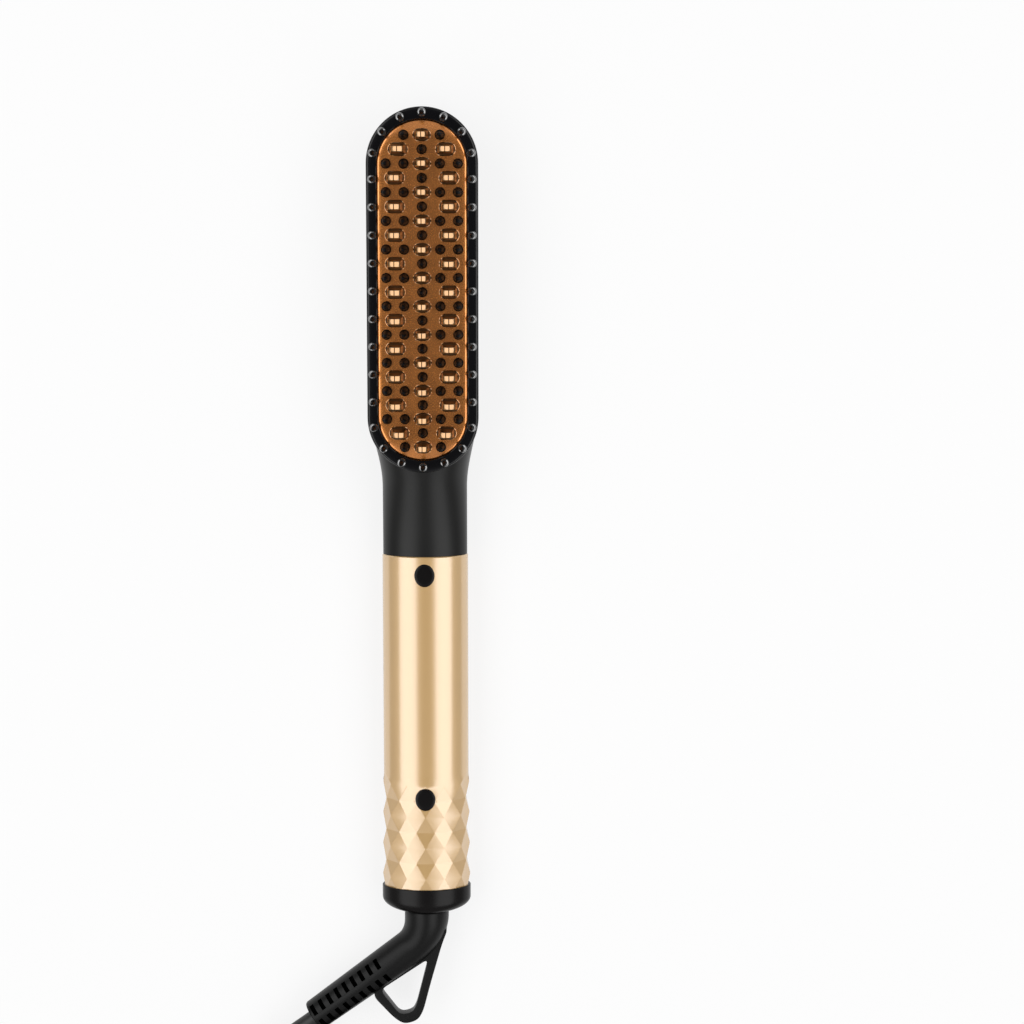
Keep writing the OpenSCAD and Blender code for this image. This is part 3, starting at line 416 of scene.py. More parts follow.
# TPE of the elbow and the plug, from a spark-eroded mould: a soft matt black. The pits of about 0.1 mm are
# drawn 0.22 mm apart, so that they show.
elbow_black = finish("black_moulded_tpe", "#090909", 0.38, grain=0.22, depth=0.008, specular=0.22)
# ABS of the end cap and screw covers, from a blasted mould: satin, with soft broad highlights. The pits of
# about 0.08 mm are drawn 0.2 mm apart, so that they show.
cap_black = finish("black_satin_abs", "#090707", 0.26, grain=0.2, depth=0.004, specular=0.2)
# PVC sheath of the lead, extruded: a dull charcoal whose skin ripples every 0.5 mm from the die
sheath = finish("black_extruded_pvc", "#161616", 0.42, grain=0.5, depth=0.015)
# ABS of the knob, polished in the mould: each side of a pyramid shows one clear grey or black; the waviness
# of polishing is 0.6 mm from crest to crest
knob_black = finish("black_gloss_abs", "#070709", 0.14, grain=0.6, depth=0.002, specular=0.35)
# polycarbonate with smoke dye, moulded clear and glossy: a deep brown-black drop with a bright glint; its
# surface flows in waves 1.2 mm apart
lens_smoke = finish("smoked_polycarbonate", "#160606", 0.06, grain=1.2, depth=0.001, ior=1.58, coat=0.5)
# brass pins of the plug, turned and nickel plated: a warm bright grey. The turning marks of about 0.05 mm
# are drawn 0.25 mm apart, so that they show.
nickel = finish("nickel_plated_brass", "#C9C8C2", 0.2, metal=1.0, grain=0.25, depth=0.002)
# nylon tape of the tie, woven with loops 0.28 mm apart and brushed: dull, fuzzy and uneven in tufts
tie_felt = finish("grey_hook_and_loop_tape", "#2C2C2E", 0.9, grain=0.28, depth=0.12, mottle=0.3, patch=1.2)
# ink from a printing pad: flat brown with soft edges. Its pigment is far finer than the 0.2 mm drawn here,
# which lets a little of the print's unevenness show.
ink = finish("brown_pad_printed_ink", "#4A2B12", 0.55, grain=0.2, depth=0.004)

# The parts inside, by the record's material slot. A grain that is finer than 0.2 mm on the real part is
# drawn coarser, so that it shows once the comb is open; where none is given, it is 0.3 mm.
HIDDEN_FINISHES = {
    # silicone rubber, compression moulded: dull brick red, a little powdery
    "gasket_rubber": finish("red_silicone_rubber", "#7C3A30", 0.6, grain=0.4, depth=0.02),
    # polyimide film, cast: deep honey amber with an even gloss
    "film_amber": finish("amber_polyimide_film", "#B98A3A", 0.25, grain=0.6, depth=0.003),
    # aluminium strip, rolled: pale, with streaks along the rolling
    "electrode_metal": finish("rolled_aluminium_strip", "#C9CCD0", 0.32, metal=1.0, stretch=(6, 1, 6)),
    # barium titanate ceramic, pressed and fired: chalky grey with darker specks of 1.5 mm
    "heater_ceramic": finish("fired_ptc_ceramic", "#6E6A66", 0.75, grain=0.2, depth=0.02, mottle=0.15,
                             patch=1.5),
    # spring steel sheet, rolled: cool grey, with streaks along the rolling
    "clamp_metal": finish("rolled_steel_sheet", "#B4B7BA", 0.35, metal=1.0, stretch=(6, 1, 6)),
    # steel screws, zinc plated in a barrel: bluish grey with a fine frosting
    "screws_steel": finish("zinc_plated_steel", "#9A9DA1", 0.3, metal=1.0, grain=0.2),
    # brass can of the fuse, drawn and tinned: a warm pale metal with soft highlights
    "fuse_metal": finish("tinned_brass_can", "#C9B26A", 0.3, metal=1.0),
    # glass bead of the sensor, dipped: glossy green with slow waves
    "sensor_green": finish("green_glass_bead", "#3A6B4A", 0.15, grain=1.0, depth=0.002),
    # mica sheet, pressed from flakes of 2 mm: cream, with pale and dark patches and a silky face
    "shield_mica": finish("pressed_mica_sheet", "#C4BFAE", 0.45, grain=0.5, depth=0.01, mottle=0.2,
                          patch=2),
    # glass-fibre sleeve, woven with threads 0.5 mm apart: off-white and matt, with a clear weave relief
    "lead_sleeve": finish("woven_glass_sleeve", "#D8D4C8", 0.8, grain=0.5, depth=0.08, mottle=0.1,
                          patch=0.8),
    # glass-epoxy board under screened solder mask: satin green, clouded where copper lies below
    "board_green": finish("green_solder_mask_board", "#2F6B3A", 0.28, grain=0.8, depth=0.01, mottle=0.15,
                          patch=3),
    # film capacitor in a potted epoxy case: plain yellow, half gloss
    "capacitor_yellow": finish("yellow_epoxy_case", "#C8A33C", 0.35, grain=0.4, depth=0.006),
    # chips in transfer-moulded epoxy: dull grey-black with a sandy grain
    "chip_black": finish("black_epoxy_package", "#1F1F1F", 0.6, grain=0.12, depth=0.01),
    # resistor dipped in lacquer: glossy slate blue, a little uneven
    "resistor_blue": finish("blue_lacquered_resistor", "#4A6F8A", 0.3, grain=0.4, depth=0.01),
    # nylon with glass fibres, moulded: dull black, with fibres just under the skin
    "switch_black": finish("black_glass_filled_nylon", "#2B2B2E", 0.55, grain=0.2, depth=0.015),
    # acetal, moulded: waxy milk white
    "lever_white": finish("white_moulded_acetal", "#D8D8D4", 0.35, grain=0.3, depth=0.004),
    # acetal, moulded: waxy mid grey
    "carrier_grey": finish("grey_moulded_acetal", "#4A4A4D", 0.35, grain=0.3, depth=0.004),
    # diffusing epoxy of the lamp, cast: clear bright red with a smooth dome
    "led_red": finish("red_diffused_epoxy", "#D24A3A", 0.2, grain=0.8, depth=0.002),
    # bronze springs and rings, stamped and gold flashed: bright yellow metal
    "contact_metal": finish("gold_flashed_bronze", "#C9A24A", 0.25, metal=1.0),
    # PVC insulation, extruded: brown with a low sheen
    "lead_brown": finish("brown_pvc_insulation", "#5B4A3C", 0.45, grain=0.4, depth=0.01),
    # nylon of the swivel's shaft, moulded: ivory and satin
    "core_white": finish("white_moulded_nylon", "#E0DDD2", 0.45, grain=0.25, depth=0.006),
}

# ---- mains lead ----


LOWER_TURNS = 4
LOWER_STEP = (262, 334)   # degrees of a lower turn over which it steps to the next radius
UPPER_STEP = (135, 205)
CLIMB = (200, 264)        # degrees of the last lower turn over which it climbs onto the others
CLEAR = CORD_D + 0.12     # between the middles of turns that lie on each other


def coil_radius(turned):
    """Radius of the coil's centreline after a number of degrees."""
    turn, rest = divmod(turned, 360)
    start, end = LOWER_STEP if turn < LOWER_TURNS else UPPER_STEP
    here = COIL_RADII[int(turn)]
    after = COIL_RADII[min(int(turn) + 1, len(COIL_RADII) - 1)]
    return between(here, after, eased((rest - start) / (end - start)))


def coil_height(turned):
    """Height of the coil's centreline: on the table, or resting on the turns below."""
    turn, rest = divmod(turned, 360)
    last = LOWER_TURNS - 1
    if turn < last or (turn == last and rest < CLIMB[0]):
        return COIL_Z
    under = [coil_radius(k * 360 + rest) for k in range(last)]
    if turn > last and rest < CLIMB[0]:
        under.append(COIL_RADII[last])
    nearest = min(abs(coil_radius(turned) - r) for r in under)
    rest_height = COIL_Z + math.sqrt(max(CLEAR ** 2 - nearest ** 2, 0))
    if turn > last:
        return rest_height
    groove = math.sqrt(CLEAR ** 2 - (COIL_RADII[last + 1] - COIL_RADII[last]) ** 2)
    return max(COIL_Z + groove * eased((rest - CLIMB[0]) / (CLIMB[1] - CLIMB[0])), rest_height)


def coil_points(step=5):
    """The coil's centreline, a point every few degrees."""
    points = []
    for turned in range(0, COIL_TURN + 1, step):
        a, r = math.radians(COIL_START + turned), coil_radius(turned)
        points.append((COIL_AT[0] + r * math.cos(a), COIL_AT[1] + r * math.sin(a), coil_height(turned)))
    return points


def evened(points, passes=3):
    """Softens small kinks of a route and keeps its ends."""
    for _ in range(passes):
        points = ([points[0]] + [tuple((a + 2 * b + c) / 4 for a, b, c in zip(p, q, r))
                                 for p, q, r in zip(points, points[1:], points[2:])] + [points[-1]])
    return points


def curved(points, parts=4):
    """More points on a smooth curve through a route's own."""
    ends = [points[0]] + points + [points[-1]]
    fine = []
    for p, q, r, s in zip(ends, ends[1:], ends[2:], ends[3:]):
        for i in range(parts):
            t = i / parts
            fine.append(tuple(0.5 * (2 * b + (c - a) * t + (2 * a - 5 * b + 4 * c - d) * t * t
                                     + (3 * b - a - 3 * c + d) * t ** 3)
                              for a, b, c, d in zip(p, q, r, s)))
    return fine + [points[-1]]


lead_points = curved([SOCKET] + LEAD_ROUTE) + evened(coil_points()) + curved(TAIL_ROUTE)
lead_points = [(x, y + CAP_END, z) for x, y, z in lead_points]

line = bpy.data.curves.new("mains_lead", "CURVE")
line.dimensions = "3D"
line.bevel_depth = CORD_D / 2 * MM
line.bevel_resolution = 7
line.use_fill_caps = True
spline = line.splines.new("POLY")
spline.points.add(len(lead_points) - 1)
for point, at in zip(spline.points, lead_points):
    point.co = (*(Vector(at) * MM), 1)
spline.use_smooth = True
lead = bpy.data.objects.new("mains_lead", line)
bpy.context.scene.collection.objects.link(lead)
placed(lead, "swivel", "cord_black", sheath, "power_cord", "cord_coil", "cord_tail")


# ---- head ----

WIDENS = (25, 29)          # past the handle: where the neck starts to widen, and over what length
RISES = (2, 46)            # the same for its height
NECK_IN = 0.3              # the neck's sides lie this far inside the handle's
SOLE_Z = (0.6, -0.15)      # the underside's height at the neck and under the head; the table cuts it flat
OVER_RIM = 1.0             # the shell first stands above the rim, whose seat cuts it off
SQUARED = (0.7, 0.25)      # powers that square up the head's oval below and above its widest place
NECK_STRETCH = 60          # sections lie 2 mm apart up to here, then they follow the tip's round
TIP_ANGLES = (0, 8, 16, 24, 32, 40, 48, 55, 61, 66, 71, 75, 79, 82, 85)


def head_ring(y, inset, count):
    """Cross-section of the neck and the back shell at a place along the comb, set in by a wall."""
    wide, rise = (eased((y - NECK_Y - start) / run) for start, run in (WIDENS, RISES))
    over = max(0, y - (HEAD_MID + SHELL_RUN / 2))
    full, high_shoulder = SHELL_R - inset, SHOULDER_H - inset
    tip = math.sqrt(max(full * full - over * over, 0))
    w = tip if y > HEAD_MID else between(HALF_W - NECK_IN - inset, full, wide)
    nose = max(0, over - full + high_shoulder)
    lift = high_shoulder * (1 - math.sqrt(max(1 - (nose / high_shoulder) ** 2, 0)))
    mid = between(AXIS_Z, SHOULDER_H, rise)
    low = min(between(*SOLE_Z, rise) + inset + lift, mid - 0.01)
    high = between(AXIS_Z + HALF_T, RIM_Z + OVER_RIM, rise) - inset
    e_low, e_high = between(1, SQUARED[0], rise), between(1, SQUARED[1], wide)
    points = []
    for t in ring_points(count):
        c, v = math.cos(t), math.sin(t)
        half, e = (high - mid, e_high) if v > 0 else (mid - low, e_low)
        points.append((w * signed_power(c, e), y, mid + half * signed_power(v, e)))
    return points


def head_form(name, inset, start, count):
    """The neck and the back shell, from a start beside the handle to the tip, set in by a wall."""
    straight = HEAD_MID + SHELL_RUN / 2
    stations = [NECK_Y + start + s * (1 - start / NECK_STRETCH) for s in range(0, NECK_STRETCH + 1, 2)]
    tips = [straight + (SHELL_R - inset) * math.sin(math.radians(a)) for a in TIP_ANGLES]
    return lofted(name, [head_ring(y, inset, count) for y in stations + tips])


def slot_cutter(x, y1, y2, depth, width):
    """A blunt-ended slot, cut from the table side."""
    outline = stadium(width / 2, y2 - y1 - width, (y1 + y2) / 2, steps=8)
    return prism(shifted(outline, x, 0), -1, depth)


UNDER = -5                 # the table's cutter starts this far down
VENT_W = 2.6
# (place across the head, depth, end of the open row from the tip)
VENT_COLUMNS = [(0, 1.1, 17.5), (-6, 1.1, 17.5), (6, 1.1, 17.5), (-12.2, 2.4, 15.6), (12.2, 2.4, 15.6)]
VENT_ROWS = [(19.8, 26.9), (29.6, 36.5)]
PAST_HEAD = ((-40, 40), (NECK_Y - 5, TIP_Y + 5))
SEAT_FIT = 0.01
SEAT_FLOOR = 1.5           # what is left of the shell under the rim's seat
WELL_IN = 0.3
WELL_DEPTH = 2.5
SPIGOT_L = 10.5
SPIGOT_IN = (4.1, 2.1)     # its inside and its outside, from the handle's surface

shell = head_form("head_shell_soft_touch", inset=0, start=0, count=96)
hollow = head_form("hollow", inset=WALL, start=-0.5, count=64)
cut(hollow, [box_cutter(*PAST_HEAD, (RIM_FOOT - SEAT_FLOOR, FAR))])
seat = prism(stadium(RIM_R + SEAT_FIT, RIM_RUN, HEAD_MID), RIM_FOOT, FAR)
well = prism(stadium(PLATE_R - WELL_IN, PLATE_RUN, HEAD_MID), RIM_FOOT - WELL_DEPTH, RIM_FOOT + 1)
table = box_cutter(*PAST_HEAD, (UNDER, 0))
vents = [slot_cutter(x, TIP_Y - far, TIP_Y - near, deep, VENT_W)
         for x, deep, _ in VENT_COLUMNS for near, far in VENT_ROWS]
vents += [slot_cutter(x, TIP_Y - far, TIP_Y + 6, deep, VENT_W) for x, deep, far in VENT_COLUMNS]
cut(shell, [seat, table, hollow, well] + vents)
spigot = [[(a, NECK_Y + d, AXIS_Z + b) for a, b in oval(HALF_W - inset, HALF_T - inset)]
          for inset, d in ((SPIGOT_IN[0], 1), (SPIGOT_IN[0], -SPIGOT_L),
                           (SPIGOT_IN[1], -SPIGOT_L), (SPIGOT_IN[1], 1))]
cut(shell, [lofted("spigot", spigot, closed=True)], "UNION")
edged(shell, SHELL_EDGE, angle=30)
placed(shell, "root", "shell_black", soft_black, "head_shell")

RIM_EDGE = (0.9, 0.35)     # rounds of the rim's outer and inner edge
PLATE_EDGE = 0.8
PLATE_FALL = (51.5, 1.1)   # where the plate's face starts to fall away from the middle, and how far down
PLATE_RINGS = 10


def rim_ring(r, z):
    """A line round the rim; the inner ones run as far as the plate's do."""
    run = PLATE_RUN if r <= PLATE_R + PLATE_FLANGE + FIT else RIM_RUN
    return level(stadium(r, run, HEAD_MID), z)


def plate_face(r, z):
    """A line round the plate; its face falls away towards both ends."""
    start, fall = PLATE_FALL
    end = PLATE_RUN / 2 + PLATE_R
    return [(x, y, z - fall * max((abs(y - HEAD_MID) - start) / (end - start), 0) ** 2)
            for x, y in stadium(r, PLATE_RUN, HEAD_MID)]


profile = [(RIM_R, RIM_FOOT)] + rounded(RIM_R, RIM_Z, RIM_EDGE[0])
profile += rounded(PLATE_R + FIT, RIM_Z, RIM_EDGE[1], inward=False)[::-1]
profile += [(PLATE_R + FIT, RIM_Z - RIM_LIP), (PLATE_R + PLATE_FLANGE + FIT, RIM_Z - RIM_LIP),
            (PLATE_R + PLATE_FLANGE + FIT, RIM_FOOT)]
rim = lofted("rim_polished", [rim_ring(r, z) for r, z in profile], closed=True)
placed(rim, "root", "frame_black", gloss_black, "rim_frame")

profile = [(PLATE_R + PLATE_FLANGE, RIM_Z - PLATE_DEPTH), (PLATE_R + PLATE_FLANGE, RIM_Z - RIM_LIP),
           (PLATE_R, RIM_Z - RIM_LIP)]
rings = [level(stadium(r, PLATE_RUN, HEAD_MID), z) for r, z in profile]
rings += [plate_face(r, z) for r, z in rounded(PLATE_R, PLATE_Z, PLATE_EDGE)]
rings += [plate_face(PLATE_R - PLATE_EDGE - d, PLATE_Z) for d in range(1, PLATE_RINGS + 1)]
placed(lofted("heating_plate_anodised", rings), "root", "plate_copper", copper, "heating_plate")

# guard pins: a mound that runs out in a fine blunt tip
GUARD_X = PLATE_R + 0.46 * (RIM_R - PLATE_R)     # just inside the middle of the rim's face
GUARD_GAPS = 8             # between the nine pins along a side
GUARD_PITCH = 0.876 * RIM_RUN / GUARD_GAPS
GUARD_ARC = PLATE_R + 1.9
GUARD_ANGLES = (11.5, 38, 64.5, 90, 115.5, 142, 168.5)
guard_places = [(s * GUARD_X, HEAD_MID + (i - GUARD_GAPS / 2) * GUARD_PITCH, RIM_Z)
                for s in (-1, 1) for i in range(GUARD_GAPS + 1)]
guard_places += [(GUARD_ARC * math.cos(math.radians(a)),
                  HEAD_MID + s * (RIM_RUN / 2 + GUARD_ARC * math.sin(math.radians(a))), RIM_Z)
                 for s in (-1, 1) for a in GUARD_ANGLES]
# (reach outward, reach inward, height)
GUARD_FOOT = [(1.0, 1.0, -1.4), (1.1, 1.1, 0), (1.6, 1.6, 0), (1.58, 1.6, 0.35), (1.5, 1.6, 0.62),
              (1.35, 1.59, 0.84), (1.17, 1.57, 1.0), (1.04, 1.53, 1.08), (0.6, 0.6, 1.12)]
# (radius, height), as for every turned form
GUARD_PIN = [(0.8, 0.9), (0.92, 1.0), (0.92, 1.3), (0.86, 3.2), (0.74, 5), (0.62, 6.8), (0.52, 8.4),
             (0.44, 9.0), (0.28, 9.36), (0.1, 9.5)]


def guard_foot(bm, at, steps=28):
    """A mound that is steep towards the plate and slopes outward."""
    x, y, z = at
    middle = min(max(y, HEAD_MID - RIM_RUN / 2), HEAD_MID + RIM_RUN / 2)
    way = Vector((x, y - middle)).normalized()
    rings = []
    for out, inward, h in GUARD_FOOT:
        r, shift = (out + inward) / 2, (out - inward) / 2
        rings.append([(x + way.x * shift + r * math.cos(a), y + way.y * shift + r * math.sin(a), z + h)
                      for a in ring_points(steps)])
    loft(bm, rings)


bm = bmesh.new()
for at in guard_places:
    guard_foot(bm, at)
placed(made(bm, "guard_pin_feet_polished", crease=45), "root", "guard_pins", foot_black)
bm = bmesh.new()
for at in guard_places:
    turned(bm, GUARD_PIN, at)
placed(made(bm, "guard_pins_moulded", crease=45), "root", "guard_pins", pin_black, "rim_pins")

# rows of teeth and pins, the first at the tip
ROWS = 23
ROW_PITCH = 5.0
ROW_SHIFT = -0.3


def row_y(row):
    """Place of a row along the comb."""
    return HEAD_MID + ROW_SHIFT + ((ROWS + 1) / 2 - row) * ROW_PITCH


PIN_XS = (6.4, 12.7)       # inner and outer columns of pins on each side of the middle one
PIN_PROFILE = [(1.1, -2), (1.1, -0.3), (1.8, -0.3), (1.8, 0.75), (1.72, 0.95), (1.5, 1.1), (1.4, 1.6),
               (1.22, 4.0), (0.98, 6.2), (0.78, 8.2), (0.62, 9.2), (0.45, 9.75), (0.2, 9.97), (0.05, 10.0)]
pin_places = [(s * PIN_XS[0], row_y(i)) for i in range(1, ROWS + 1, 2) for s in (-1, 1)]
pin_places += [(s * PIN_XS[1], row_y(i)) for i in range(3, ROWS - 1, 2) for s in (-1, 1)]
pin_places += [(0, row_y(i)) for i in range(2, ROWS, 2)]
bm = bmesh.new()
for x, y in pin_places:
    turned(bm, PIN_PROFILE, (x, y, PLATE_Z))
pins = made(bm, "insulating_pins_moulded", crease=40)
placed(pins, "root", "pins_black", pin_black, "insulating_pins")

TOOTH_H = 9.5
TOOTH_PEG = [(1.1, -2), (1.1, 0.1)]
COLLAR_GROW = 1.4
COLLAR_H = 0.5
# (inset, height): a flat rim with a round edge, sunk a little round the blade
COLLAR = [(0, -0.4), (0, COLLAR_H - 0.2), (0.06, COLLAR_H - 0.06), (0.2, COLLAR_H), (0.3, COLLAR_H - 0.1),
          (0.45, COLLAR_H - 0.12)]
BLADE = [(0.3, 0.9), (1.2, 0.8), (5, 0.55)]         # (height, corner radius)
SHOULDER = (0.15, 0.45)                             # the blade's top below its tip, and the corners there
TIP_FALL = math.tan(math.radians(17))               # each half of a tip leans out by this, towards a lamp
TIP_EDGE = [(0.05, 0.9), (0.05, 0.12), (0.22, 0)]   # (inset, depth below the tip's face)
TIP_END = 0.12
GROOVE = 0.16                                       # half the groove between the halves
CENTRE_TOOTH = ((5.2, 3.2), (3.5, 2.0))             # length and width of the blade at its foot and its tip
SIDE_TOOTH = ((6.0, 3.5), (4.2, 2.0))
SIDE_TOOTH_XS = (8.35, 9.55)                        # in the rows next to the ends, and in the others


def blade_ring(l, w, z, corner, at, steps=5):
    """A rounded rectangle, long across the head."""
    points = []
    corner = min(corner, l / 2 - 0.01, w / 2 - 0.01)
    for k, (sx, sy) in enumerate(((1, 1), (-1, 1), (-1, -1), (1, -1))):
        for i in range(steps + 1):
            a = math.pi / 2 * (k + i / steps)
            points.append((at[0] + sx * (l / 2 - corner) + corner * math.cos(a),
                           at[1] + sy * (w / 2 - corner) + corner * math.sin(a), at[2] + z))
    return points


def blade_size(foot, tip, h):
    """Length and width of a blade at a height."""
    return [between(a, b, h / TOOTH_H) for a, b in zip(foot, tip)]


def heated_tooth(bright, blades, foot, tip, at):
    """A collar with round ends, then a blade that tapers to a tip of two leaning halves."""
    x, y, z = at
    turned(blades, TOOTH_PEG, at, steps=16)
    collar_l, collar_w = foot[0] + COLLAR_GROW, foot[1] + COLLAR_GROW
    loft(bright, [blade_ring(collar_l - 2 * inset, collar_w - 2 * inset, h, collar_w / 2 - inset, at)
                  for inset, h in COLLAR])
    top_l, top_w = blade_size(foot, tip, TOOTH_H)
    shoulder = TOOTH_H - top_l / 2 * TIP_FALL - SHOULDER[0]
    loft(blades, [blade_ring(*blade_size(foot, tip, h), h, corner, at)
                  for h, corner in BLADE + [(shoulder, SHOULDER[1])]])
    for s in (-1, 1):
        inner, outer = x + s * GROOVE, x + s * (top_l / 2 - TIP_END)
        rings = []
        for inset, drop in TIP_EDGE:
            near, far = y - top_w / 2 + inset, y + top_w / 2 - inset
            end = outer - s * inset
            rings.append([(px, py, z + TOOTH_H - abs(px - x) * TIP_FALL - drop)
                          for px, py in ((inner, near), (end, near), (end, far), (inner, far))])
        loft(bright, rings)


bright, blades = bmesh.new(), bmesh.new()
for i in range(1, ROWS + 1, 2):
    heated_tooth(bright, blades, *CENTRE_TOOTH, (0, row_y(i), PLATE_Z))
for i in range(2, ROWS + 1, 2):
    x = SIDE_TOOTH_XS[0] if i in (2, ROWS - 1) else SIDE_TOOTH_XS[1]
    for s in (-1, 1):
        heated_tooth(bright, blades, *SIDE_TOOTH, (s * x, row_y(i), PLATE_Z))
# the blades take the darker bronze, which is painted shade; the tips and collars take the lighter bronze,
# which is a painted highlight
teeth = made(blades, "heated_teeth_anodised", crease=35)
placed(teeth, "root", "teeth_metal", blade_metal_painted_shade, "heating_teeth")
tips = made(bright, "tooth_tips_and_collars_polished_painted_highlight", crease=35)
placed(tips, "root", "teeth_metal", tip_metal_painted_highlight)

# ---- handle ----

OVAL_STEPS = 360
FACET_ROWS = 4
FACET_COLUMNS = 12
FACET_PITCH = 11.65
FACET_FIRST = CAP_Y + 4 + (FACET_ROWS - 1) * FACET_PITCH
FACET_FADE = 3.0           # length over which the facets run out into the smooth oval
FACET_PROUD = 0.25
FACET_GROWTH = 0.1
FACET_DIP = 0.5
FACET_ROOM = 0.4           # the hollow behind the facets is this much higher than their wall leaves it
FACET_CREASE = 4
FINE = 192
NECK_CHAMFER = 0.4


def arc_lengths(a, b):
    """Length along an oval up to each degree."""
    lengths = [0.0]
    for t in range(OVAL_STEPS + 1):
        p, q = math.radians(t), math.radians(t + 1)
        step = math.hypot(a * (math.sin(q) - math.sin(p)), b * (math.cos(q) - math.cos(p)))
        lengths.append(lengths[-1] + step)
    return lengths


ARCS = arc_lengths(HALF_W, HALF_T)


def turn_at(part):
    """Turn of the handle's oval, in radians from the top, at a part of its length around."""
    goal = part * ARCS[OVAL_STEPS]
    t = max(k for k in range(OVAL_STEPS + 1) if ARCS[k] <= goal + TINY)
    return math.radians(t + (goal - ARCS[t]) / (ARCS[t + 1] - ARCS[t]))


def handle_oval(out, count, y, shift=0.0):
    """Points evenly spaced round the handle, some way out from its oval."""
    points = []
    for i in range(count):
        t = turn_at(((i + shift) / count) % 1)
        points.append((-(HALF_W + out) * math.sin(t), y, AXIS_Z + (HALF_T + out) * math.cos(t)))
    return points


def handle_form(name):
    """The whole handle's outside: a smooth oval that turns into rows of diamond facets."""
    n, each = FACET_COLUMNS, FINE // FACET_COLUMNS
    bm = bmesh.new()
    rings = []
    for k in range(2 * FACET_ROWS, -1, -1):
        low = k % 2
        out = FACET_PROUD + k * FACET_GROWTH / 2 - low * FACET_DIP
        rings.append(vertex_row(bm, handle_oval(out, n, FACET_FIRST - k * FACET_PITCH / 2, low / 2)))
    ends = [vertex_row(bm, handle_oval(out, FINE, y)) for out, y in
            ((0, FACET_FIRST + FACET_FADE), (0, (FACET_FIRST + NECK_Y) / 2),
             (0, NECK_Y - NECK_CHAMFER), (-NECK_CHAMFER, NECK_Y))]
    bm.faces.new(rings[0][::-1])
    for j, (a, b) in enumerate(zip(rings, rings[1:])):
        for i in range(n):
            k = (i + 1) % n
            first, second = (i, k) if j % 2 == 0 else (k, i)
            bm.faces.new((a[i], a[k], b[first]))
            bm.faces.new((a[second], b[k], b[i]))
    last, smooth_ring = rings[-1], ends[0]
    for i in range(n):
        bm.faces.new((last[i], last[(i + 1) % n], smooth_ring[(i * each + each // 2) % FINE]))
        for s in range(each):
            k = i if s < each // 2 else (i + 1) % n
            bm.faces.new((last[k], smooth_ring[(i * each + s + 1) % FINE], smooth_ring[i * each + s]))
    for a, b in zip(ends, ends[1:]):
        for i in range(FINE):
            k = (i + 1) % FINE
            bm.faces.new((a[i], a[k], b[k], b[i]))
    bm.faces.new(ends[-1])
    return made(bm, name, FACET_CREASE)


def oval_rod(inset, room, y1, y2):
    """The handle's hollow behind a wall, with some more room in its thickness."""
    outline = oval(HALF_W - inset, HALF_T - inset + room, 96)
    return lofted("cutter", [[(x, y, AXIS_Z + z) for x, z in outline] for y in (y1, y2)])


def half_handle(name, z1, z2):
    """The handle without its hollow and without what lies between two heights."""
    half = settled(edged(handle_form(name), FACET_EDGE, FACET_CREASE), FACET_CREASE)
    inside = [oval_rod(WALL, 0, FACET_FIRST + FACET_FADE + 1, NECK_Y + 1),
              oval_rod(FACET_WALL, FACET_ROOM, CAP_Y - 1, FACET_FIRST + FACET_FADE + 2)]
    ends = box_cutter((-FAR, FAR), (CAP_Y - FAR, CAP_Y), (-FAR, FAR))
    other = box_cutter((-FAR, FAR), (CAP_Y - FAR, NECK_Y + FAR), (z1, z2))
    return cut(half, inside + [ends, other], crease=FACET_CREASE)


SCREW_YS = (NECK_Y - 6.9, CAP_Y + 34.05)
BOSS_R = (4.3, 3.2)        # bosses round the screws, in the front and the rear half
BOSS_LOW = 0.6             # the front ones end this far below the handle's top
SCREW_HOLE_Z = 3.5         # height above which the screws' shanks have their holes
SCREW_HOLE_R = 1.25
COVER = (7.2, 8.2)
COVER_FIT = 0.08
COVER_TOP = AXIS_Z + HALF_T
COVER_T = 2.2
# (inset, height below the handle's top): a round edge, then a face that swells a little
COVER_PROFILE = [(0, COVER_T), (0, 0.2), (0.06, 0.06), (0.2, 0), (1.2, -0.03), (2.6, -0.04)]


def cover_oval(grow, y0):
    """Outline of a screw cover at a screw, grown or set in."""
    return shifted(oval(COVER[0] / 2 + grow, COVER[1] / 2 + grow), 0, y0)


front = half_handle("handle_front_gold", -FAR, AXIS_Z)
bosses = [disc(0, y, BOSS_R[0], AXIS_Z, COVER_TOP - BOSS_LOW) for y in SCREW_YS]
cut(front, bosses, "UNION", FACET_CREASE)
recesses = [prism(cover_oval(COVER_FIT, y), COVER_TOP - COVER_T, FAR) for y in SCREW_YS]
cut(front, recesses, crease=FACET_CREASE)
edged(front, HANDLE_EDGE, angle=40)
placed(front, "root", "handle_gold", gold, "handle_front")

bm = bmesh.new()
for y0 in SCREW_YS:
    loft(bm, [level(cover_oval(-inset, y0), COVER_TOP - d) for inset, d in COVER_PROFILE])
placed(made(bm, "screw_covers_moulded"), "root", "cover_black", cap_black, "screw_covers")

PANEL = (NECK_Y - 59.6, NECK_Y - 7.3)
PANEL_W = 10.6
PANEL_Z = 1.35
POCKET = (PANEL[0] + 0.9, PANEL[0] + 0.9 + 30.8)
POCKET_W = 8.3
POCKET_Z = 2.6
STEM_WINDOW = ((-1.3, 1.3), (POCKET[0] + 7.8, POCKET[0] + 17.2), (-1, 5))
LENS_Y = PANEL[1] - 8.5
LENS = (3.3, 6.0)
LENS_FIT = 0.1
LENS_CUT_TOP = 15.0        # above the rear half, so that its opening goes right through
# thicker walls behind the pocket and behind the lens
PADS = [((-7, 7), (PANEL[0] - 1, POCKET[1] + 3), (1.9, 4)), ((-4, 4), (LENS_Y - 4, LENS_Y + 4), (1.9, 4))]


def lens_oval(grow):
    """Outline of the lens, grown or set in."""
    return shifted(oval(LENS[0] / 2 + grow, LENS[1] / 2 + grow), 0, LENS_Y)


def opening(width, ends, depth):
    """A stadium-shaped opening from behind the comb to a depth."""
    return prism(stadium(width / 2, ends[1] - ends[0] - width, sum(ends) / 2), -FAR, depth)


